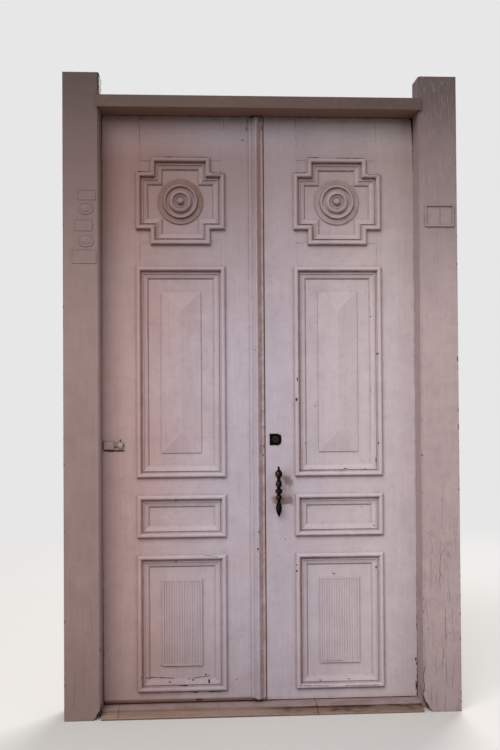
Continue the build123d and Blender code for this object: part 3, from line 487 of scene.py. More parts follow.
def sill_wood(name, seams):
    """Threshold: paint kept on the tread, bare stained timber below it and butt seams."""
    material, tree, place = new_material(name)
    x_axis, y_axis, z_axis = place.split()
    grain = place.stretch((4.0, 110.0, 110.0)).noise(1.0, 6.0, 0.65)
    cloud = place.noise(8.0, 6.0, 0.66, 0.5)
    fine = place.noise(60.0, 5.0, 0.7)
    long_cloud = place.stretch((7.0, 30.0, 60.0)).noise(1.0, 6.0, 0.7)
    colour = tree.mix(grain.rise(0.25, 0.75), sill_aged, sill_bare)
    colour = colour.tint(long_cloud.rise(0.40, 0.62), sill_ochre)

    # The tread keeps most of its paint, the front scraps of it along its lower edge
    tread = z_axis.rise(*tread_heights)
    scraps = (long_cloud + fine * 0.3).rise(0.70, 0.80) * 0.5
    lower_edge = z_axis.fall(0.003, 0.009) * x_axis.rise(-0.2, 0.1) * 0.6
    kept = tread * (0.9 - (cloud + fine * 0.4).rise(0.66, 0.78) * 0.6)
    kept = tree.math("MAXIMUM", kept, tree.math("MAXIMUM", scraps, lower_edge))
    colour = colour.tint(kept, sill_paint)

    # Grime and painted shade where the faces meet, stain and painted shade under the left leaf,
    # blots on the right half
    on_right = x_axis.rise(*sill_right)
    crease_dirt_and_shade = tree.openness(0.035).fall(0.35, 0.95) * (0.55 - on_right * 0.30)
    colour = colour.tint(crease_dirt_and_shade, sill_grime_and_shade)
    colour = colour.tint(tread * on_right * 0.45, sill_mauve)
    under_leaf = y_axis.rise(-0.007, -0.003) * x_axis.fall(0.0, 0.08)
    colour = colour.tint(under_leaf * 0.85, foot_stain_and_shade)
    blots = place.stretch((9.0, 20.0, 50.0), (3.0, 1.0, 2.0)).noise(1.0, 6.0, 0.72)
    under_step = z_axis.rise(0.004, 0.014) * 0.75 + 0.25
    blots = blots.rise(0.46, 0.60) * ((on_right * 0.75 + 0.12) * under_step)
    colour = colour.tint(blots * (1.0 - tread * 0.75), sill_grime_and_shade)
    # A dark line under the tread's edge and a darker upper front on the right half, partly stain
    # and partly painted shade
    step = abs(z_axis - tread_level).fall(0.0010, 0.0030) * cloud.rise(0.30, 0.60)
    colour = colour.tint(step * (on_right * 0.65 + 0.15), wood_dark)
    upper_front = z_axis.rise(0.004, 0.019) * (on_right * 0.5)
    colour = colour.tint(upper_front * (1.0 - tread), sill_grime_and_shade)
    for seam in seams:
        off = abs(x_axis - seam) + (fine - 0.5) * 0.012
        line = off.fall(0.0006, 0.0024) * cloud.rise(0.3, 0.6)
        colour = colour.tint(line * 0.75, wood_dark)
    height = grain * 0.9 + cloud * 0.7 + fine * 0.4
    tree.surface(colour, 0.8, 0.25, height, 0.5, 2 * mm, tree.rounded(0.003))
    return material


def dark_bronze(name):
    """Cast handle: nearly black, greenish in blotches, rubbed to gold on the beads, with painted
    highlights where they face the street and the left.
    """
    material, tree, place = new_material(name)
    x_axis, y_axis, z_axis = place.split()
    face_x, face_y, face_z = tree.add("ShaderNodeTexCoord", output=1).split()
    cloud = place.noise(110.0, 5.0, 0.6)
    fine = place.noise(420.0, 3.0, 0.6)
    low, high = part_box("pull_handle")
    across, depth = x_axis - (low.x + high.x) / 2, y_axis - (low.y + 15 * mm)
    reach = (across * across + depth * depth) ** 0.5
    front = face_y.rise(-0.55, -0.90) * face_x.fall(-0.85, 0.30)
    rubbed_and_highlit = reach.rise(0.0095, 0.0125) * front * cloud.rise(0.40, 0.60)
    rubbed_and_highlit = rubbed_and_highlit * (z_axis.rise(low.z + 50 * mm, low.z + 80 * mm) * 0.8 + 0.2)
    colour = tree.mix(cloud.rise(0.5, 0.72), metal_dark, metal_green)
    colour = colour.tint(rubbed_and_highlit * 0.6, metal_gold)
    tree.surface(colour, fine.span(0.3, 0.7, 0.36, 0.6), 0.06, cloud, 0.4, 0.4 * mm,
                 metallic=rubbed_and_highlit)
    return material


def aged_metal(name, colour, stain, metallic, roughness, sheen=0.5):
    """Dull metal with a blotchy stain."""
    material, tree, place = new_material(name)
    cloud = place.noise(60.0, 6.0, 0.65)
    fine = place.noise(500.0, 2.0, 0.5)
    creases = tree.openness(0.006, 6).fall(0.4, 0.9) * 0.8
    stained = tree.math("MAXIMUM", cloud.rise(0.52, 0.72), creases)
    rough = cloud.span(0.2, 0.8, roughness - 0.1, roughness + 0.15)
    tree.surface(tree.mix(stained, colour, stain), rough, sheen, cloud * 0.7 + fine * 0.3, 0.25,
                 0.4 * mm, metallic=metallic)
    return material


def latch_knob_paint(name):
    """The latch's bar is painted with the leaf; its knob keeps an old cream enamel."""
    material, tree, place = new_material(name)
    x_axis, y_axis, z_axis = place.split()
    cloud = place.noise(160.0, 5.0, 0.65)
    knob_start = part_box("latch_bolt")[1].x - 25 * mm
    cream = tree.mix(cloud.rise(0.42, 0.68), knob_cream, knob_worn)
    colour = tree.mix(x_axis.rise(knob_start, knob_start + 1 * mm), latch_colours[0], cream)
    # Painted shade in the creases round the bar and knob
    colour = colour.tint(tree.openness(0.008).fall(0.3, 0.9) * 0.85, wood_dark)
    tree.surface(colour, 0.4, 0.5, cloud, 0.3, 0.5 * mm)
    return material


def bare_wood(name, dark, light):
    """Timber that shows where paint has gone, as in chips and splits; also the colour of painted
    shadow marks and of the dark strip between the leaves.
    """
    material, tree, place = new_material(name)
    grain = place.stretch((260.0, 260.0, 30.0)).noise(1.0, 4.0, 0.6)
    tree.surface(tree.mix(grain.rise(0.3, 0.7), dark, light), 0.9, 0.15, grain, 0.5, 0.6 * mm)
    return material


def stain_at(left_u, top_v, right_u, low_v, blur, strength):
    """A stain on the leaf's face between two photograph pixels, its blur in millimetres."""
    low = plane_place(left_u, low_v, 0)
    high = plane_place(right_u, top_v, 0)
    return (low.x, high.x, low.z, high.z), tuple(width * mm for width in blur), strength


pull_stains = (
    stain_at(280, 462, 295, 507, (22, 14, 12, 60), 0.25),
    stain_at(271, 494, 293.6, 505, (16, 4, 4, 14), 0.85),
    stain_at(282, 473, 293.5, 487, (14, 10, 12, 14), 0.70),
)

# The threshold's butt seams: pixel columns, in a pixel row of its front
sill_seam_columns = (118, 219, 318)
sill_seam_row = 708
sill_front = -0.10
sill_seams = [plane_place(u, sill_seam_row, sill_front).x for u in sill_seam_columns]

rail_ends = [corner.x for side in ("left", "right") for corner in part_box(f"{side}_top_rail")]
strip_low, strip_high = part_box("astragal")
strip_flank = ((strip_low.x + strip_high.x) / 2 + 3 * mm, strip_high.x + 2 * mm)

leaf = {"colours": leaf_colours, "reveal": "leaf"}
post = {"top_shade": 0.62, "foot_shade": 0.20, "reveal": "post"}
leaf_upright = painted_wood("leaf_paint_upright", **leaf, wear=0.35, top_shade=0.44,
                            sheltered=True)
leaf_level = painted_wood("leaf_paint_level", **leaf, grain_axis="x", wear=0.35, top_shade=0.44,
                          seams=rail_ends, sheltered=True)
pull_stile = painted_wood("pull_stile_paint", **leaf, wear=0.35, stains=pull_stains,
                          sheltered=True)
reed_paint = painted_wood("reed_paint", **leaf, wear=0.3, grime_and_shade=0.4, flakes=0.25)
left_moulding_paint = painted_wood("left_moulding_paint", **leaf, wear=0.8, grime_and_shade=0.6,
                                   lee_shade=0.45, flakes=0.16, quirk_wood_and_shade=0.35)
right_moulding_paint = painted_wood("right_moulding_paint", **leaf, wear=0.9, grime_and_shade=0.55,
                                    lee_shade=0.75, flakes=0.45, quirk_wood_and_shade=0.75)
rosette_paint = painted_wood("rosette_paint", **leaf, wear=0.45, grime_and_shade=1.3, lee_shade=0.35,
                             brim=True)
strip_paint = painted_wood("astragal_paint", **leaf, wear=0.9, grime_and_shade=0.8, lee_shade=0.15,
                           flakes=0.35, flank=strip_flank, sheltered=True)
left_post_paint = painted_wood("left_post_paint", left_post_colours, **post, wear=0.6, cracks=0.3)
right_post_paint = painted_wood("right_post_paint", right_post_colours, **post, wear=0.9,
                                cracks=1.0, flakes=0.25)
head_paint = painted_wood("head_paint", head_colours, "x", wear=1.0, cracks=0.4, grime_and_shade=1.2,
                          top_shade=0.0, underside_light=head_underside_light)
threshold_wood = sill_wood("threshold_wood", sill_seams)
bronze = dark_bronze("handle_bronze")
lock_plate_metal = aged_metal("lock_plate_metal", rose_black, rose_stain, 0.0, 0.7, sheen=0.05)
lock_brass = aged_metal("lock_brass", brass_dull, brass_dark, 0.3, 0.45, sheen=0.2)
painted_iron = painted_wood("latch_paint", latch_colours, "x", wear=1.0, grime_and_shade=1.6, top_shade=0.0)
knob_enamel = latch_knob_paint("latch_knob_enamel")
steel = aged_metal("hardware_steel", steel_aged, steel_rust, 0.85, 0.42)
gap_shade_felt = bare_wood("meeting_gap_shade_felt_grey", felt_dark, felt_light)
chip_and_shadow_wood = bare_wood("chip_and_shadow_wood", wood_dark, wood_bare)
bare_timber = bare_wood("bare_timber", timber_dark, timber_light)
bare_timber_dark = bare_wood("bare_timber_dark", wood_dark, timber_dark)

upright_nodes = ("hinge_stile", "meeting_stile", "cross_panel", "tall_panel", "corner_blocks")
level_nodes = ("bottom_rail", "lower_rail", "lock_rail", "frieze_rail", "top_rail", "small_panel")
moulding_nodes = ("low_moulding", "small_moulding", "tall_moulding", "cross_moulding")
steel_nodes = (
    "jamb_hinge_plates", "hinge_pins", "left_hinge_plates", "right_hinge_plates", "rod_keepers",
    "top_rod_plate", "bottom_rod_plate", "top_rod", "bottom_rod", "lock_keep", "lock_case",
    "lock_bolt", "lock_turn_knob",
)
finish_of = {
    "left_post": left_post_paint,
    "right_post": right_post_paint,
    "head_bar": head_paint,
    "threshold": threshold_wood,
    "astragal": strip_paint,
    "pull_handle": bronze,
    "lock_rose": lock_plate_metal,
    "lock_cylinder": lock_brass,
    "lock_plug": lock_brass,
    "latch_case": painted_iron,
    "latch_bolt": knob_enamel,
    **dict.fromkeys(steel_nodes, steel),
}
for side, moulding_paint in (("left", left_moulding_paint), ("right", right_moulding_paint)):
    for kinds, finish in (
        (upright_nodes, leaf_upright),
        (level_nodes, leaf_level),
        (moulding_nodes, moulding_paint),
        (("rosette",), rosette_paint),
        (("low_panel",), reed_paint),
    ):
        for kind in kinds:
            finish_of[f"{side}_{kind}"] = finish
finish_of["right_meeting_stile"] = pull_stile
for name, finish in finish_of.items():
    data = nodes[name].data
    data.materials.clear()
    data.materials.append(finish)


# Marks on the paint: thin patches and lines that lie on the faces under them, some of them painted
# shadow

patch_lift = 0.25 * mm
line_lift = 0.2 * mm
flake_lift = 0.5 * mm


def surface_tree(names):
    """One search tree over the meshes of several CAD nodes."""
    points, faces = [], []
    for name in names:
        data = nodes[name].data
        start = len(points)
        points.extend(vertex.co.copy() for vertex in data.vertices)
        faces.extend(tuple(start + i for i in face.vertices) for face in data.polygons)
    return BVHTree.FromPolygons(points, faces)


body_nodes = frame["record"]["behaviour"]["bodies"]
trees = {body: surface_tree(body_nodes[body]) for body in ("frame", "left_leaf", "right_leaf")}


def on_face(body, x, z, lift):
    """The point of a body's street face at x, z, lifted towards the street."""
    hit, normal, index, distance = trees[body].ray_cast(Vector((x, -1, z)), Vector((0, 1, 0)))
    return None if hit is None else hit + Vector((0, -lift, 0))


def house_face(body, x, z):
    """The point of a body's house face at x, z."""
    hit, normal, index, distance = trees[body].ray_cast(Vector((x, 1, z)), Vector((0, -1, 0)))
    return hit


def photo_place(body, u, v):
    """Where the ray through a photograph pixel meets a body."""
    hit, normal, index, distance = trees[body].ray_cast(camera_place, photo_ray(u, v))
    return hit


def patch(body, x, z, width, height, seed, lift=patch_lift, rings=3, sides=14, ragged=0.35):
    """Points and faces of an irregular flat patch laid on a face."""
    dice = random.Random(seed)
    edge = [1 + ragged * (dice.random() * 2 - 1) for i in range(sides)]
    edge = [(edge[i - 1] + 2 * edge[i] + edge[(i + 1) % sides]) / 4 for i in range(sides)]
    centre = on_face(body, x, z, lift)
    if centre is None:
        return [], []
    points, faces = [centre], []
    for ring in range(1, rings + 1):
        for side in range(sides):
            angle = 2 * math.pi * side / sides
            place = None
            for shrink in (1.0, 0.75, 0.5, 0.25, 0.0):
                reach = ring / rings * edge[side] * shrink
                px = x + math.cos(angle) * width / 2 * reach
                pz = z + math.sin(angle) * height / 2 * reach
                place = place or on_face(body, px, pz, lift)
            points.append(place)
    for side in range(sides):
        after = (side + 1) % sides
        faces.append((0, 1 + side, 1 + after))
        for ring in range(1, rings):
            low, high = 1 + (ring - 1) * sides, 1 + ring * sides
            faces.append((low + side, high + side, high + after, low + after))
    return points, faces


def ribbon(pairs, turned):
    """Points and faces of a band through pairs of points, without pairs that miss the face."""
    points, faces = [], []
    for pair in pairs:
        if None in pair:
            continue
        points.extend(pair)
        if len(points) > 2:
            last = len(points) - 1
            quad = (last - 3, last - 2, last, last - 1)
            faces.append((quad[0], quad[3], quad[2], quad[1]) if turned else quad)
    return points, faces


def crack(body, x, z, length, width, seed):
    """A wandering upright split that narrows to both ends."""
    dice = random.Random(seed)
    steps = max(8, int(length / (7 * mm)))
    drift = pull = 0.0
    pairs = []
    for i in range(steps + 1):
        share = i / steps
        pull = 0.6 * pull + (dice.random() - 0.5) * 2.4 * mm
        drift = 0.94 * drift + pull
        half = width / 2 * math.sin(math.pi * share) ** 0.5 * (0.35 + 1.1 * dice.random())
        pz = z + (share - 0.5) * length
        pairs.append([on_face(body, x + drift + off, pz, line_lift) for off in (-half, half)])
    return ribbon(pairs, False)


def level_crack(body, left, right, width, seed):
    """A ragged level line between two places on a face."""
    dice = random.Random(seed)
    steps = max(6, int((right.x - left.x) / (5 * mm)))
    pairs = []
    for i in range(steps + 1):
        share = i / steps
        middle = left.z + (right.z - left.z) * share + (dice.random() - 0.5) * 1.2 * mm
        taper = min(1.0, 8 * share + 0.2, 8 * (1 - share) + 0.2)
        half = width / 2 * (0.35 + 1.1 * dice.random()) * taper
        x = left.x + (right.x - left.x) * share
        pairs.append([on_face(body, x, middle + off, line_lift) for off in (-half, half)])
    return ribbon(pairs, True)


def gap_shadow_line(body, x, inward, wide_z, thin_z, width, seed):
    """A painted shadow line along a leaf's edge, wide at one end and thin at the other."""
    dice = random.Random(seed)
    steps = max(8, int(abs(wide_z - thin_z) / (9 * mm)))
    pairs = []
    for i in range(steps + 1):
        share = i / steps
        z = wide_z + (thin_z - wide_z) * share
        reach = width * (0.25 + 0.75 * (1 - share) ** 2.5) * (0.7 + 0.6 * dice.random())
        end_x = x + inward * reach * min(1.0, 6 * (1 - share) + 0.1)
        pairs.append([on_face(body, place_x, z, line_lift) for place_x in (x, end_x)])
    return ribbon(pairs, (inward > 0) != (thin_z > wide_z))


def mesh_piece(name, body, parts, material):
    """One object from several lists of points and faces, riding on a body."""
    points, faces = [], []
    for part_points, part_faces in parts:
        start = len(points)
        points.extend(part_points)
        faces.extend(tuple(start + i for i in face) for face in part_faces)
    data = bpy.data.meshes.new(name)
    data.from_pydata(points, [], faces)
    data.validate()
    data.materials.append(material)
    piece = bpy.data.objects.new(name, data)
    bpy.context.scene.collection.objects.link(piece)
    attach(piece, body)
    return piece


# Chips, and some painted shadow by the head, the right post and the latch: pixel, width and height
# in pixels
left_chips_and_shadows = (
    (140.2, 119, 1.4, 1.6), (246.4, 129.4, 1.0, 4.5), (242.4, 140.3, 1.8, 1.6),
    (176, 500.5, 2.6, 1.2), (150, 677.5, 10, 0.9), (193, 680, 2.4, 1.3), (170, 682, 1.2, 2.0),
    (184, 685.5, 9, 0.9), (209, 681, 2.0, 4.0), (196, 692.2, 4.5, 1.0), (236.5, 679.5, 1.2, 1.4),
    (141.5, 677.5, 1.6, 1.0), (252.5, 208, 0.7, 1.2), (255, 350, 0.8, 1.6), (206, 674.5, 1.8, 1.6),
    (264, 446, 0.9, 3.2), (263, 455, 1.1, 3.0), (264, 427, 0.8, 2.6), (259, 532, 1.2, 2.2),
    (258, 549, 1.6, 2.0), (176, 561.5, 3.0, 0.8), (252.0, 116.3, 6.0, 2.2),
    (262.4, 117.0, 3.0, 2.0), (259.6, 121.0, 1.0, 5.0), (261.4, 128.0, 0.9, 6.0),
)
right_chips_and_shadows = (
    (297.3, 379.3, 1.2, 4.6), (296.5, 399.5, 1.8, 3.6), (370.3, 316.6, 1.4, 1.4),
    (377.7, 353.6, 1.6, 2.2), (305.6, 443.6, 1.0, 1.8), (378.6, 442.7, 1.0, 2.4),
    (345.4, 468.4, 3.0, 1.0), (376, 567, 1.6, 2.6), (297, 571, 1.4, 2.2), (297, 565, 1.4, 1.4),
    (334, 573.5, 3.0, 1.0), (365, 469, 3.5, 0.9), (349, 678.7, 1.8, 1.2), (315, 406, 1.0, 1.4),
    (362, 507, 1.6, 1.0), (374, 525.5, 1.2, 1.6), (376, 460, 1.0, 5.0), (320, 680, 2.2, 1.0),
    (285, 539, 1.2, 1.0), (415.7, 659, 1.4, 3.2), (416.0, 685, 0.8, 13.0), (412.8, 120, 1.5, 8.0),
    (413.0, 132, 0.8, 12.0),
)
# On the latch: its screw hole, with painted shadow in its slot, under it and beside its knob
latch_hole_and_shadows = (
    (120.4, 440.9, 2.2, 2.8), (115.4, 446.0, 1.0, 3.6), (107.0, 450.9, 7.0, 1.5),
    (112.0, 451.1, 8.0, 1.6), (117.5, 451.0, 7.0, 1.5), (122.0, 450.9, 6.0, 1.3),
    (123.8, 445.6, 0.9, 2.6),
)


def chip_and_shadow_marks(body, marks, seed):
    parts = []
    for number, (u, v, width, height) in enumerate(marks):
        hit = photo_place(body, u, v)
        if hit is not None:
            parts.append(patch(body, hit.x, hit.z, width * pixel_size, height * pixel_size,
                               seed + number))
    return parts


for name, body, marks, seed in (
    ("left_leaf_chips_and_shadows", "left_leaf", left_chips_and_shadows, 100),
    ("latch_hole_and_shadow_marks", "left_leaf", latch_hole_and_shadows, 200),
    ("right_leaf_chips_and_shadows", "right_leaf", right_chips_and_shadows, 300),
):
    mesh_piece(name, body, chip_and_shadow_marks(body, marks, seed), chip_and_shadow_wood)

# Splits and checks: pixel column, upper and lower pixel row, width in millimetres
left_leaf_splits = (
    (140.4, 117.5, 150.0, 1.1), (141.0, 150.0, 164.0, 0.7), (223.4, 117.5, 134.0, 0.8),
    (140.6, 244.0, 262.0, 0.6),
)
right_leaf_splits = (
    (294.6, 117.5, 130.0, 1.5), (294.8, 130.0, 156.0, 0.6), (375.4, 117.5, 143.0, 0.9),
    (376.0, 244.0, 262.0, 0.5),
)
post_splits = (
    (440.5, 552, 590, 1.1), (446.0, 606, 650, 1.5), (442.0, 640, 668, 1.3), (427.6, 596, 624, 0.8),
    (436.0, 646, 676, 1.0), (446.5, 662, 686, 1.0), (450.0, 572, 602, 0.7), (431.0, 558, 592, 0.7),
    (454.0, 596, 644, 0.7), (433.5, 622, 652, 0.7), (452.5, 652, 692, 1.0), (425.0, 638, 670, 0.8),
    (438.0, 686, 711, 1.2), (446.0, 692, 711, 1.1), (431.0, 684, 708, 1.1), (455.0, 516, 562, 0.6),
    (436.2, 130, 330, 0.5), (443.0, 476, 522, 0.6), (458.0, 686, 711, 1.1), (417.8, 655, 690, 2.6),
    (84.0, 640, 692, 0.6), (74.0, 668, 712, 0.8), (91.0, 596, 642, 0.5), (70.0, 556, 602, 0.5),
)


def splits(body, marks, seed):
    parts = []
    for number, (u, high_v, low_v, width) in enumerate(marks):
        hit = photo_place(body, u, (high_v + low_v) / 2)
        if hit is not None:
            parts.append(crack(body, hit.x, hit.z, (low_v - high_v) * pixel_size, width * mm,
                               seed + number))
    return parts


for body, marks, seed in (("left_leaf", left_leaf_splits, 2500),
                          ("right_leaf", right_leaf_splits, 2600)):
    mesh_piece(f"{body}_splits", body, splits(body, marks, seed), chip_and_shadow_wood)

# Lines along the mouldings, dirt on the upper ledges and painted shadow under the lower edges and
# at the leaf's foot: two pixels and width in millimetres
left_lines = (
    ((152.0, 157.2), (174.0, 157.1), 5.0), ((174.0, 157.2), (209.0, 157.4), 3.4),
    ((137.5, 171.6), (152.5, 171.4), 4.4), ((212.0, 173.8), (224.0, 174.0), 4.0),
    ((140.5, 160.2), (151.5, 160.3), 1.0), ((211.5, 160.3), (223.0, 160.2), 1.0),
    ((140.5, 243.0), (151.0, 243.1), 0.8), ((150.0, 677.4), (176.0, 678.4), 2.4),
    ((186.0, 679.6), (212.0, 675.4), 2.0), ((172.0, 683.8), (186.0, 686.8), 2.4),
    ((208.0, 691.6), (222.0, 691.8), 2.8), ((186.0, 691.8), (200.0, 691.6), 2.0),
    ((204.0, 555.6), (218.0, 556.4), 1.8), ((160.0, 665.8), (176.0, 666.4), 2.6),
    ((196.0, 699.6), (203.0, 699.6), 7.0),
)
right_lines = (
    ((307.5, 157.6), (320.0, 157.6), 3.6), ((336.0, 158.0), (365.0, 158.6), 2.8),
    ((293.5, 173.0), (306.0, 172.8), 3.2), ((367.0, 174.8), (380.0, 175.0), 3.2),
    ((295.0, 160.6), (305.5, 160.6), 1.2), ((366.5, 160.8), (375.5, 160.9), 1.0),
    ((295.0, 243.0), (305.0, 243.1), 1.0), ((366.5, 243.2), (375.0, 243.3), 1.0),
    ((343.5, 468.4), (350.0, 468.4), 3.0), ((336.0, 471.2), (346.0, 471.4), 2.0),
    ((322.0, 661.0), (346.0, 660.4), 2.4), ((297.0, 685.4), (330.0, 685.8), 1.8),
    ((344.0, 685.6), (380.0, 684.8), 2.0), ((300.0, 557.0), (322.0, 556.8), 1.6),
    ((344.0, 557.2), (372.0, 556.6), 1.8), ((366.0, 535.2), (381.0, 535.0), 2.0),
)


def dirt_and_shadow_lines(body, lines, seed):
    parts = []
    for number, (start, end, width) in enumerate(lines):
        left, right = photo_place(body, *start), photo_place(body, *end)
        if left is not None and right is not None:
            parts.append(level_crack(body, left, right, width * mm, seed + number))
    return parts


for body, lines, seed in (("left_leaf", left_lines, 2000), ("right_leaf", right_lines, 2200)):
    mesh_piece(f"{body}_dirt_and_shadow_lines", body, dirt_and_shadow_lines(body, lines, seed), chip_and_shadow_wood)

# Dirt along the upper ledges of the crosses
cross_notch_width = 59.5 * mm
cross_notch_height = 62 * mm
ledge_rise = 1.3 * mm
for side, width in (("left", 3.6 * mm), ("right", 2.2 * mm)):
    low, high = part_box(f"{side}_cross_moulding")
    inner_left, inner_right = low.x + cross_notch_width, high.x - cross_notch_width
    shoulder = high.z - cross_notch_height
    ledges = ((inner_left, inner_right, high.z), (low.x, inner_left, shoulder),
              (inner_right, high.x, shoulder))
    ledge_parts = [
        level_crack(f"{side}_leaf", Vector((start_x, 0, z + ledge_rise)),
                    Vector((end_x, 0, z + ledge_rise)), width, 2900 + number)
        for number, (start_x, end_x, z) in enumerate(ledges)
    ]
    mesh_piece(f"{side}_cross_ledge_dirt", f"{side}_leaf", ledge_parts, chip_and_shadow_wood)

# Painted shadow in the gaps beside the posts: left or right, wide and thin end, width in
# millimetres
edge_gap_shadows = (
    (1, 2.442, 2.362, 16.0), (1, 2.440, 2.180, 6.5), (1, 0.300, 0.900, 2.2), (1, 0.034, 0.320, 5.0),
    (1, 0.160, 0.196, 7.0), (-1, 2.442, 2.390, 7.0), (-1, 2.440, 1.200, 3.4),
    (-1, 0.034, 1.200, 3.4), (-1, 0.034, 0.110, 6.0),
)
post_edge = 0.645
gap_lap = 1.2 * mm
head_shadow_level = 2.4308
head_shadow_width = 2.6 * mm
head_shadow_outer_end = 0.644
head_shadow_inner_end = {"left_leaf": -0.045, "right_leaf": 0.0225}
for body, outward in (("left_leaf", -1), ("right_leaf", 1)):
    gap_shadow_parts = [
        gap_shadow_line(body, outward * (post_edge + gap_lap), -outward, wide_z, thin_z,
                 width * mm + gap_lap, 2700 + number)
        for number, (side, wide_z, thin_z, width) in enumerate(edge_gap_shadows) if side == outward
    ]
    # and a painted shadow line along the leaf's top, under the head
    line_ends = [Vector((x, 0, head_shadow_level))
                 for x in sorted((head_shadow_inner_end[body], outward * head_shadow_outer_end))]
    gap_shadow_parts.append(level_crack(body, *line_ends, head_shadow_width, 2750 + outward))
    mesh_piece(f"{body}_edge_gap_shadows", body, gap_shadow_parts, chip_and_shadow_wood)

# Paint flakes that lap over the lock's rose: pixel, width and height in pixels
rose_flakes = (
    (280.6, 433.6, 5.4, 2.2), (281.8, 435.8, 1.6, 2.4), (281.2, 445.4, 3.6, 2.4),
    (271.0, 433.2, 2.6, 1.0), (275.4, 433.0, 1.8, 0.8), (277.0, 446.0, 2.4, 0.8),
    (282.2, 443.2, 1.2, 2.0),
)
flake_parts = []
for number, (u, v, width, height) in enumerate(rose_flakes):
    flake_place = plane_place(u, v, 0)
    flake_parts.append(patch("right_leaf", flake_place.x, flake_place.z, width * pixel_size,
                             height * pixel_size, 500 + number, lift=flake_lift, ragged=0.6))
mesh_piece("rose_paint_flakes", "right_leaf", flake_parts, leaf_upright)

mesh_piece("post_splits", "frame", splits("frame", post_splits, 700), bare_timber_dark)

# Bare spots along the posts' edges, where the paint has come away: x, lowest and highest z, count
bare_edges = (
    (-0.7880, 0.03, 2.5, 34), (0.7980, 0.03, 2.5, 40), (-0.6475, 0.07, 0.7, 5),
    (0.6475, 0.09, 1.3, 10),
)
dice = random.Random(41)
bare_parts = []
for edge_x, foot_z, top_z, count in bare_edges:
    for number in range(count):
        spot_z = foot_z + (top_z - foot_z) * dice.random() ** 1.5
        spot_width = (2 + 5 * dice.random() ** 2) * mm
        spot_height = spot_width * (0.8 + 2.2 * dice.random())
        bare_parts.append(patch("frame", edge_x, spot_z, spot_width, spot_height,
                                900 + len(bare_parts), lift=line_lift, ragged=0.8))
mesh_piece("frame_bare_spots", "frame", bare_parts, bare_timber)


# Bare plates on the posts, under as many coats of paint as the wood

post_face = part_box("left_post")[0].y


def raised_plate(x, z, width, height, squareness, section, sides=64):
    """Points and faces of a blank plate on a post's street face, from its edge inwards.

    The outline is an oval at squareness 2 and nears a rectangle as it grows. The section lists
    in millimetres how far in from the edge and how far out from the face each ring lies.
    """
    points, faces = [], []
    for ring, (inset, out) in enumerate(section):
        for side in range(sides):
            angle = 2 * math.pi * (side + 0.5) / sides
            across, up = math.cos(angle), math.sin(angle)
            across = math.copysign(abs(across) ** (2 / squareness), across)
            up = math.copysign(abs(up) ** (2 / squareness), up)
            points.append(Vector((x + across * (width / 2 - inset * mm), post_face - out * mm,
                                  z + up * (height / 2 - inset * mm))))
            if ring:
                here, after = (ring - 1) * sides + side, (ring - 1) * sides + (side + 1) % sides
                faces.append((here, after, after + sides, here + sides))
    points.append(Vector((x, post_face - section[-1][1] * mm, z)))
    last = (len(section) - 1) * sides
    faces.extend((last + side, last + (side + 1) % sides, len(points) - 1)
                 for side in range(sides))
    return points, faces


def plate_at(left_u, top_v, right_u, low_v, squareness, section):
    """A blank plate between two pixels of the photograph."""
    high, low = plane_place(left_u, top_v, post_face), plane_place(right_u, low_v, post_face)
    return raised_plate((high.x + low.x) / 2, (high.z + low.z) / 2, low.x - high.x,
                        high.z - low.z, squareness, section)


blank_rim = ((0.0, -0.3), (0.0, 1.4), (0.8, 2.3), (2.6, 2.3), (3.8, 1.2))
oval_rim = ((0.0, -0.3), (0.0, 1.2), (1.2, 2.4), (4.0, 2.6), (6.4, 1.2), (10.0, 1.2), (12.0, 2.4),
            (17.0, 3.0))
frame_rim = ((0.0, -0.3), (0.0, 6.0), (1.6, 7.6), (6.0, 7.6), (7.6, 6.0), (7.6, 0.8))
divider_rim = ((0.0, 0.4), (0.0, 2.8), (0.6, 3.4))
left_plates = (
    (77.0, 189.5, 95.5, 200.0, 14, blank_rim), (78.0, 202.0, 93.5, 214.5, 2.3, oval_rim),
    (74.0, 219.0, 92.5, 231.0, 14, blank_rim), (78.0, 234.0, 94.0, 247.0, 2.3, oval_rim),
    (71.5, 249.0, 96.5, 263.5, 16, blank_rim),
)
right_plates = (
    (424.5, 204.5, 454.0, 227.0, 24, frame_rim), (439.6, 206.8, 440.4, 224.7, 24, divider_rim),
)
mesh_piece("left_post_blank_plates", "frame", [plate_at(*plate) for plate in left_plates],
           left_post_paint)
mesh_piece("right_post_name_frame", "frame", [plate_at(*plate) for plate in right_plates],
           right_post_paint)


# Dark felt strip in the gap between the leaves, let into the left one: painted shade that keeps
# light from shining through the gap


def gap_shade_strip(low, high):
    """A long box between two corners."""
    corners = [Vector((x, y, z))
               for z in (low.z, high.z) for y in (low.y, high.y) for x in (low.x, high.x)]
    faces = [(0, 1, 5, 4), (1, 3, 7, 5), (3, 2, 6, 7), (2, 0, 4, 6), (0, 2, 3, 1), (4, 5, 7, 6)]
    return corners, faces


stile_low, stile_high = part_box("left_meeting_stile")
mesh_piece("meeting_gap_shade_felt", "left_leaf", [gap_shade_strip(
    Vector((stile_high.x - 2 * mm, 0.5 * mm, stile_low.z + 1 * mm)),
    Vector((stile_high.x + 2.8 * mm, 3 * mm, stile_high.z - 1 * mm)),
)], gap_shade_felt)


# Splinters in the rotted corners at the posts' feet

# The corners: left or right, width and height; their outline as shares of these
broken_corners = ((-1, 0.033, 0.062), (1, 0.040, 0.070))
break_outline = ((0.0, 1.0), (0.2, 0.62), (0.5, 0.4), (0.62, 0.22), (1.0, 0.0))
splinter_tries = 70
splinter_front = -0.108


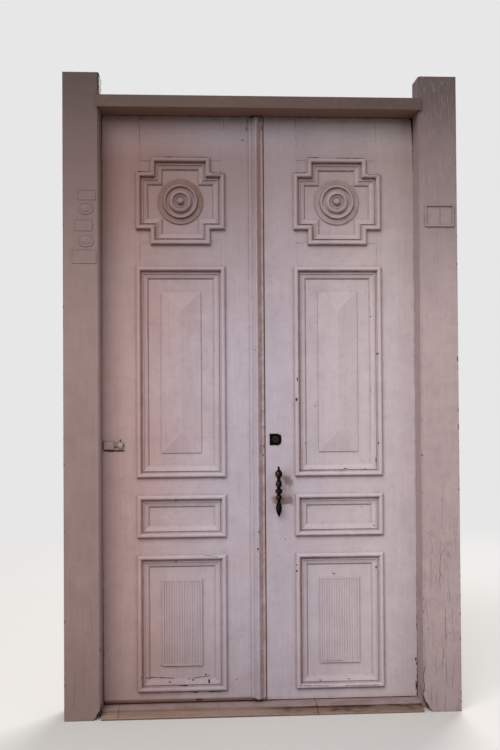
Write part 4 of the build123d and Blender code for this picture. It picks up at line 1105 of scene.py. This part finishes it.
def splinter(x, y, top_z, length, width, dice):
    """A tapering four-sided sliver that hangs from the broken edge."""
    tip = Vector((x + (dice.random() - 0.5) * 3 * mm, y + (dice.random() - 0.5) * 3 * mm,
                  top_z - length))
    points = [Vector((x + across * width / 2, y + deep * width / 2, top_z + 4 * mm))
              for across, deep in ((-1, -1), (1, -1), (1, 1), (-1, 1))]
    return points + [tip], [(0, 1, 4), (1, 2, 4), (2, 3, 4), (3, 0, 4), (3, 2, 1, 0)]


def break_height_at(share, height):
    """Height of the rotted outline at a share of its width."""
    for (low_share, low_rise), (high_share, high_rise) in zip(break_outline, break_outline[1:]):
        if share <= high_share:
            along = (share - low_share) / (high_share - low_share)
            return height * (low_rise + (high_rise - low_rise) * along)
    return 0.0


splinter_parts = []
for sign, break_width, break_height in broken_corners:
    for number in range(splinter_tries):
        share = dice.random() * 0.93
        rise = break_height_at(share, break_height)
        length = min(rise - 1 * mm, (4 + 22 * dice.random() ** 1.5) * mm)
        if length > 2 * mm:
            x = sign * (post_edge + share * break_width)
            y = splinter_front + 0.05 * dice.random()
            width = (1.2 + 2.4 * dice.random()) * mm
            splinter_parts.append(splinter(x, y, rise, length, width, dice))
mesh_piece("post_splinters", "frame", splinter_parts, bare_timber)


# Slotted screws of the hinges, bolts and lock


def screw(centre, outward, radius, turn, rise):
    """Two half rounds with a slot between them."""
    across = Vector((0, 0, 1)).cross(outward).normalized()
    upright = outward.cross(across)
    slot = radius * 0.14
    low = math.asin(slot / radius)
    angles = [low + (math.pi - 2 * low) * i / 10 for i in range(11)]
    count = len(angles)
    points, faces = [], []
    for half in (1, -1):
        start = len(points)
        for share, level in ((1.0, 0.0), (1.0, 0.45), (0.82, 1.0)):
            for angle in angles:
                u = math.cos(angle) * radius * share
                v = max(math.sin(angle) * radius * share, slot) * half
                place_u = u * math.cos(turn) - v * math.sin(turn)
                place_v = u * math.sin(turn) + v * math.cos(turn)
                points.append(centre + across * place_u + upright * place_v
                              + outward * rise * level)
        rims = []
        for low_ring in (start, start + count):
            for i in range(count):
                after = (i + 1) % count
                rims.append((low_ring + i, low_ring + after, low_ring + count + after,
                             low_ring + count + i))
        rims.append(tuple(start + 2 * count + i for i in range(count)))
        faces.extend(rim if half > 0 else tuple(reversed(rim)) for rim in rims)
    return points, faces


# Screws of the hinges: levels of the hinges, then depth and height of each screw on its plate
hinge_levels = (0.282, 1.262, 2.202)
screw_spots = ((20.5 * mm, 36 * mm), (33 * mm, 12 * mm), (20.5 * mm, -12 * mm), (33 * mm, -36 * mm))
leaf_plate_face = 0.657
jamb_plate_face = 0.660
hinge_screw_radius = 4 * mm
hinge_screw_rise = 0.4 * mm
for side, sign in (("left", -1), ("right", 1)):
    hinge_screws = {"leaf": [], "jamb": []}
    for level in hinge_levels:
        for spot_y, spot_z in screw_spots:
            for part, face, outward in (("leaf", leaf_plate_face, sign),
                                        ("jamb", jamb_plate_face, -sign)):
                hinge_screws[part].append(screw(
                    Vector((sign * face, spot_y, level + spot_z)), Vector((outward, 0, 0)),
                    hinge_screw_radius, dice.random() * math.pi, hinge_screw_rise))
    mesh_piece(f"{side}_leaf_hinge_screws", f"{side}_leaf", hinge_screws["leaf"], steel)
    mesh_piece(f"{side}_jamb_hinge_screws", "frame", hinge_screws["jamb"], steel)


def screws_behind(name, body, columns, levels, radius):
    """Screws on the house side of a body, turned as they were driven."""
    parts = []
    for x in columns:
        for z in levels:
            parts.append(screw(house_face(body, x, z), Vector((0, 1, 0)), radius,
                               dice.random() * math.pi, 1.1 * mm))
    mesh_piece(name, body, parts, steel)


screws_behind("rod_plate_screws", "left_leaf", (-0.0735, -0.0425),
              (2.262, 2.339, 2.416, 0.060, 0.137, 0.214), 3.4 * mm)
screws_behind("lock_case_screws", "right_leaf", (0.031, 0.099), (1.0715, 1.1225), 3.8 * mm)


# Floor, light and backdrop, in linear light

backdrop = (0.80, 0.80, 0.80, 1.0)
sky_light = (0.27, 0.27, 0.275, 1.0)
floor_reach = 40.0
floor_fade = (1.6, 6.0)
lamp_target = (0, 0, 1.2)
daylight = (1.0, 0.98, 0.96)
cool_light = (0.97, 0.97, 1.0)


def make_floor():
    """Pale floor that fades into the backdrop and gives back little light."""
    data = bpy.data.meshes.new("floor")
    signs = ((-1, -1), (1, -1), (1, 1), (-1, 1))
    corners = [(across * floor_reach, deep * floor_reach, 0) for across, deep in signs]
    data.from_pydata(corners, [], [(0, 1, 2, 3)])
    material, tree, place = new_material("floor_pale")
    far = tree.add("ShaderNodeVectorMath", {0: place}, output=1, operation="LENGTH")
    seen = tree.add("ShaderNodeLightPath", output="Is Camera Ray")
    near_surface = tree.add("ShaderNodeBsdfPrincipled", {
        "Base Color": tree.mix(seen, floor_lit, floor_seen), "Roughness": 0.95,
        "Specular IOR Level": 0.1,
    })
    far_surface = tree.add("ShaderNodeEmission", {"Color": backdrop})
    fade = far.rise(*floor_fade) * seen
    tree.end("ShaderNodeOutputMaterial",
             tree.add("ShaderNodeMixShader", {0: fade, 1: near_surface, 2: far_surface}))
    data.materials.append(material)
    floor = bpy.data.objects.new("floor", data)
    bpy.context.scene.collection.objects.link(floor)


def make_lamp(name, place, size, power, colour):
    """A square lamp that looks at the middle of the door."""
    data = bpy.data.lights.new(name, "AREA")
    data.shape = "RECTANGLE"
    data.size = data.size_y = size
    data.energy = power
    data.color = colour
    lamp = bpy.data.objects.new(name, data)
    bpy.context.scene.collection.objects.link(lamp)
    lamp.location = place
    lamp.rotation_mode = "QUATERNION"
    lamp.rotation_quaternion = (Vector(lamp_target) - Vector(place)).to_track_quat("-Z", "Y")


def make_world():
    """Grey sky light, with the backdrop where the camera looks past the door."""
    world = bpy.data.worlds.new("world")
    bpy.context.scene.world = world
    world.use_nodes = True
    tree = Nodes(world.node_tree)
    seen = tree.add("ShaderNodeLightPath", output="Is Camera Ray")
    colour = tree.add("ShaderNodeMix", {0: seen, 6: sky_light, 7: backdrop}, output=2,
                      data_type="RGBA")
    tree.end("ShaderNodeOutputWorld",
             tree.add("ShaderNodeBackground", {"Color": colour, "Strength": 1.0}))


make_camera()
make_floor()
make_world()
make_lamp("key", (-3.0, -6.6, 6.6), 7.0, 690.0, daylight)
make_lamp("fill", (4.2, -5.6, 2.6), 4.0, 70.0, cool_light)
make_lamp("back", (2.6, 6.6, 7.0), 5.0, 700.0, daylight)

bpy.context.scene.view_settings.view_transform = "Standard"

bpy.context.view_layer.update()
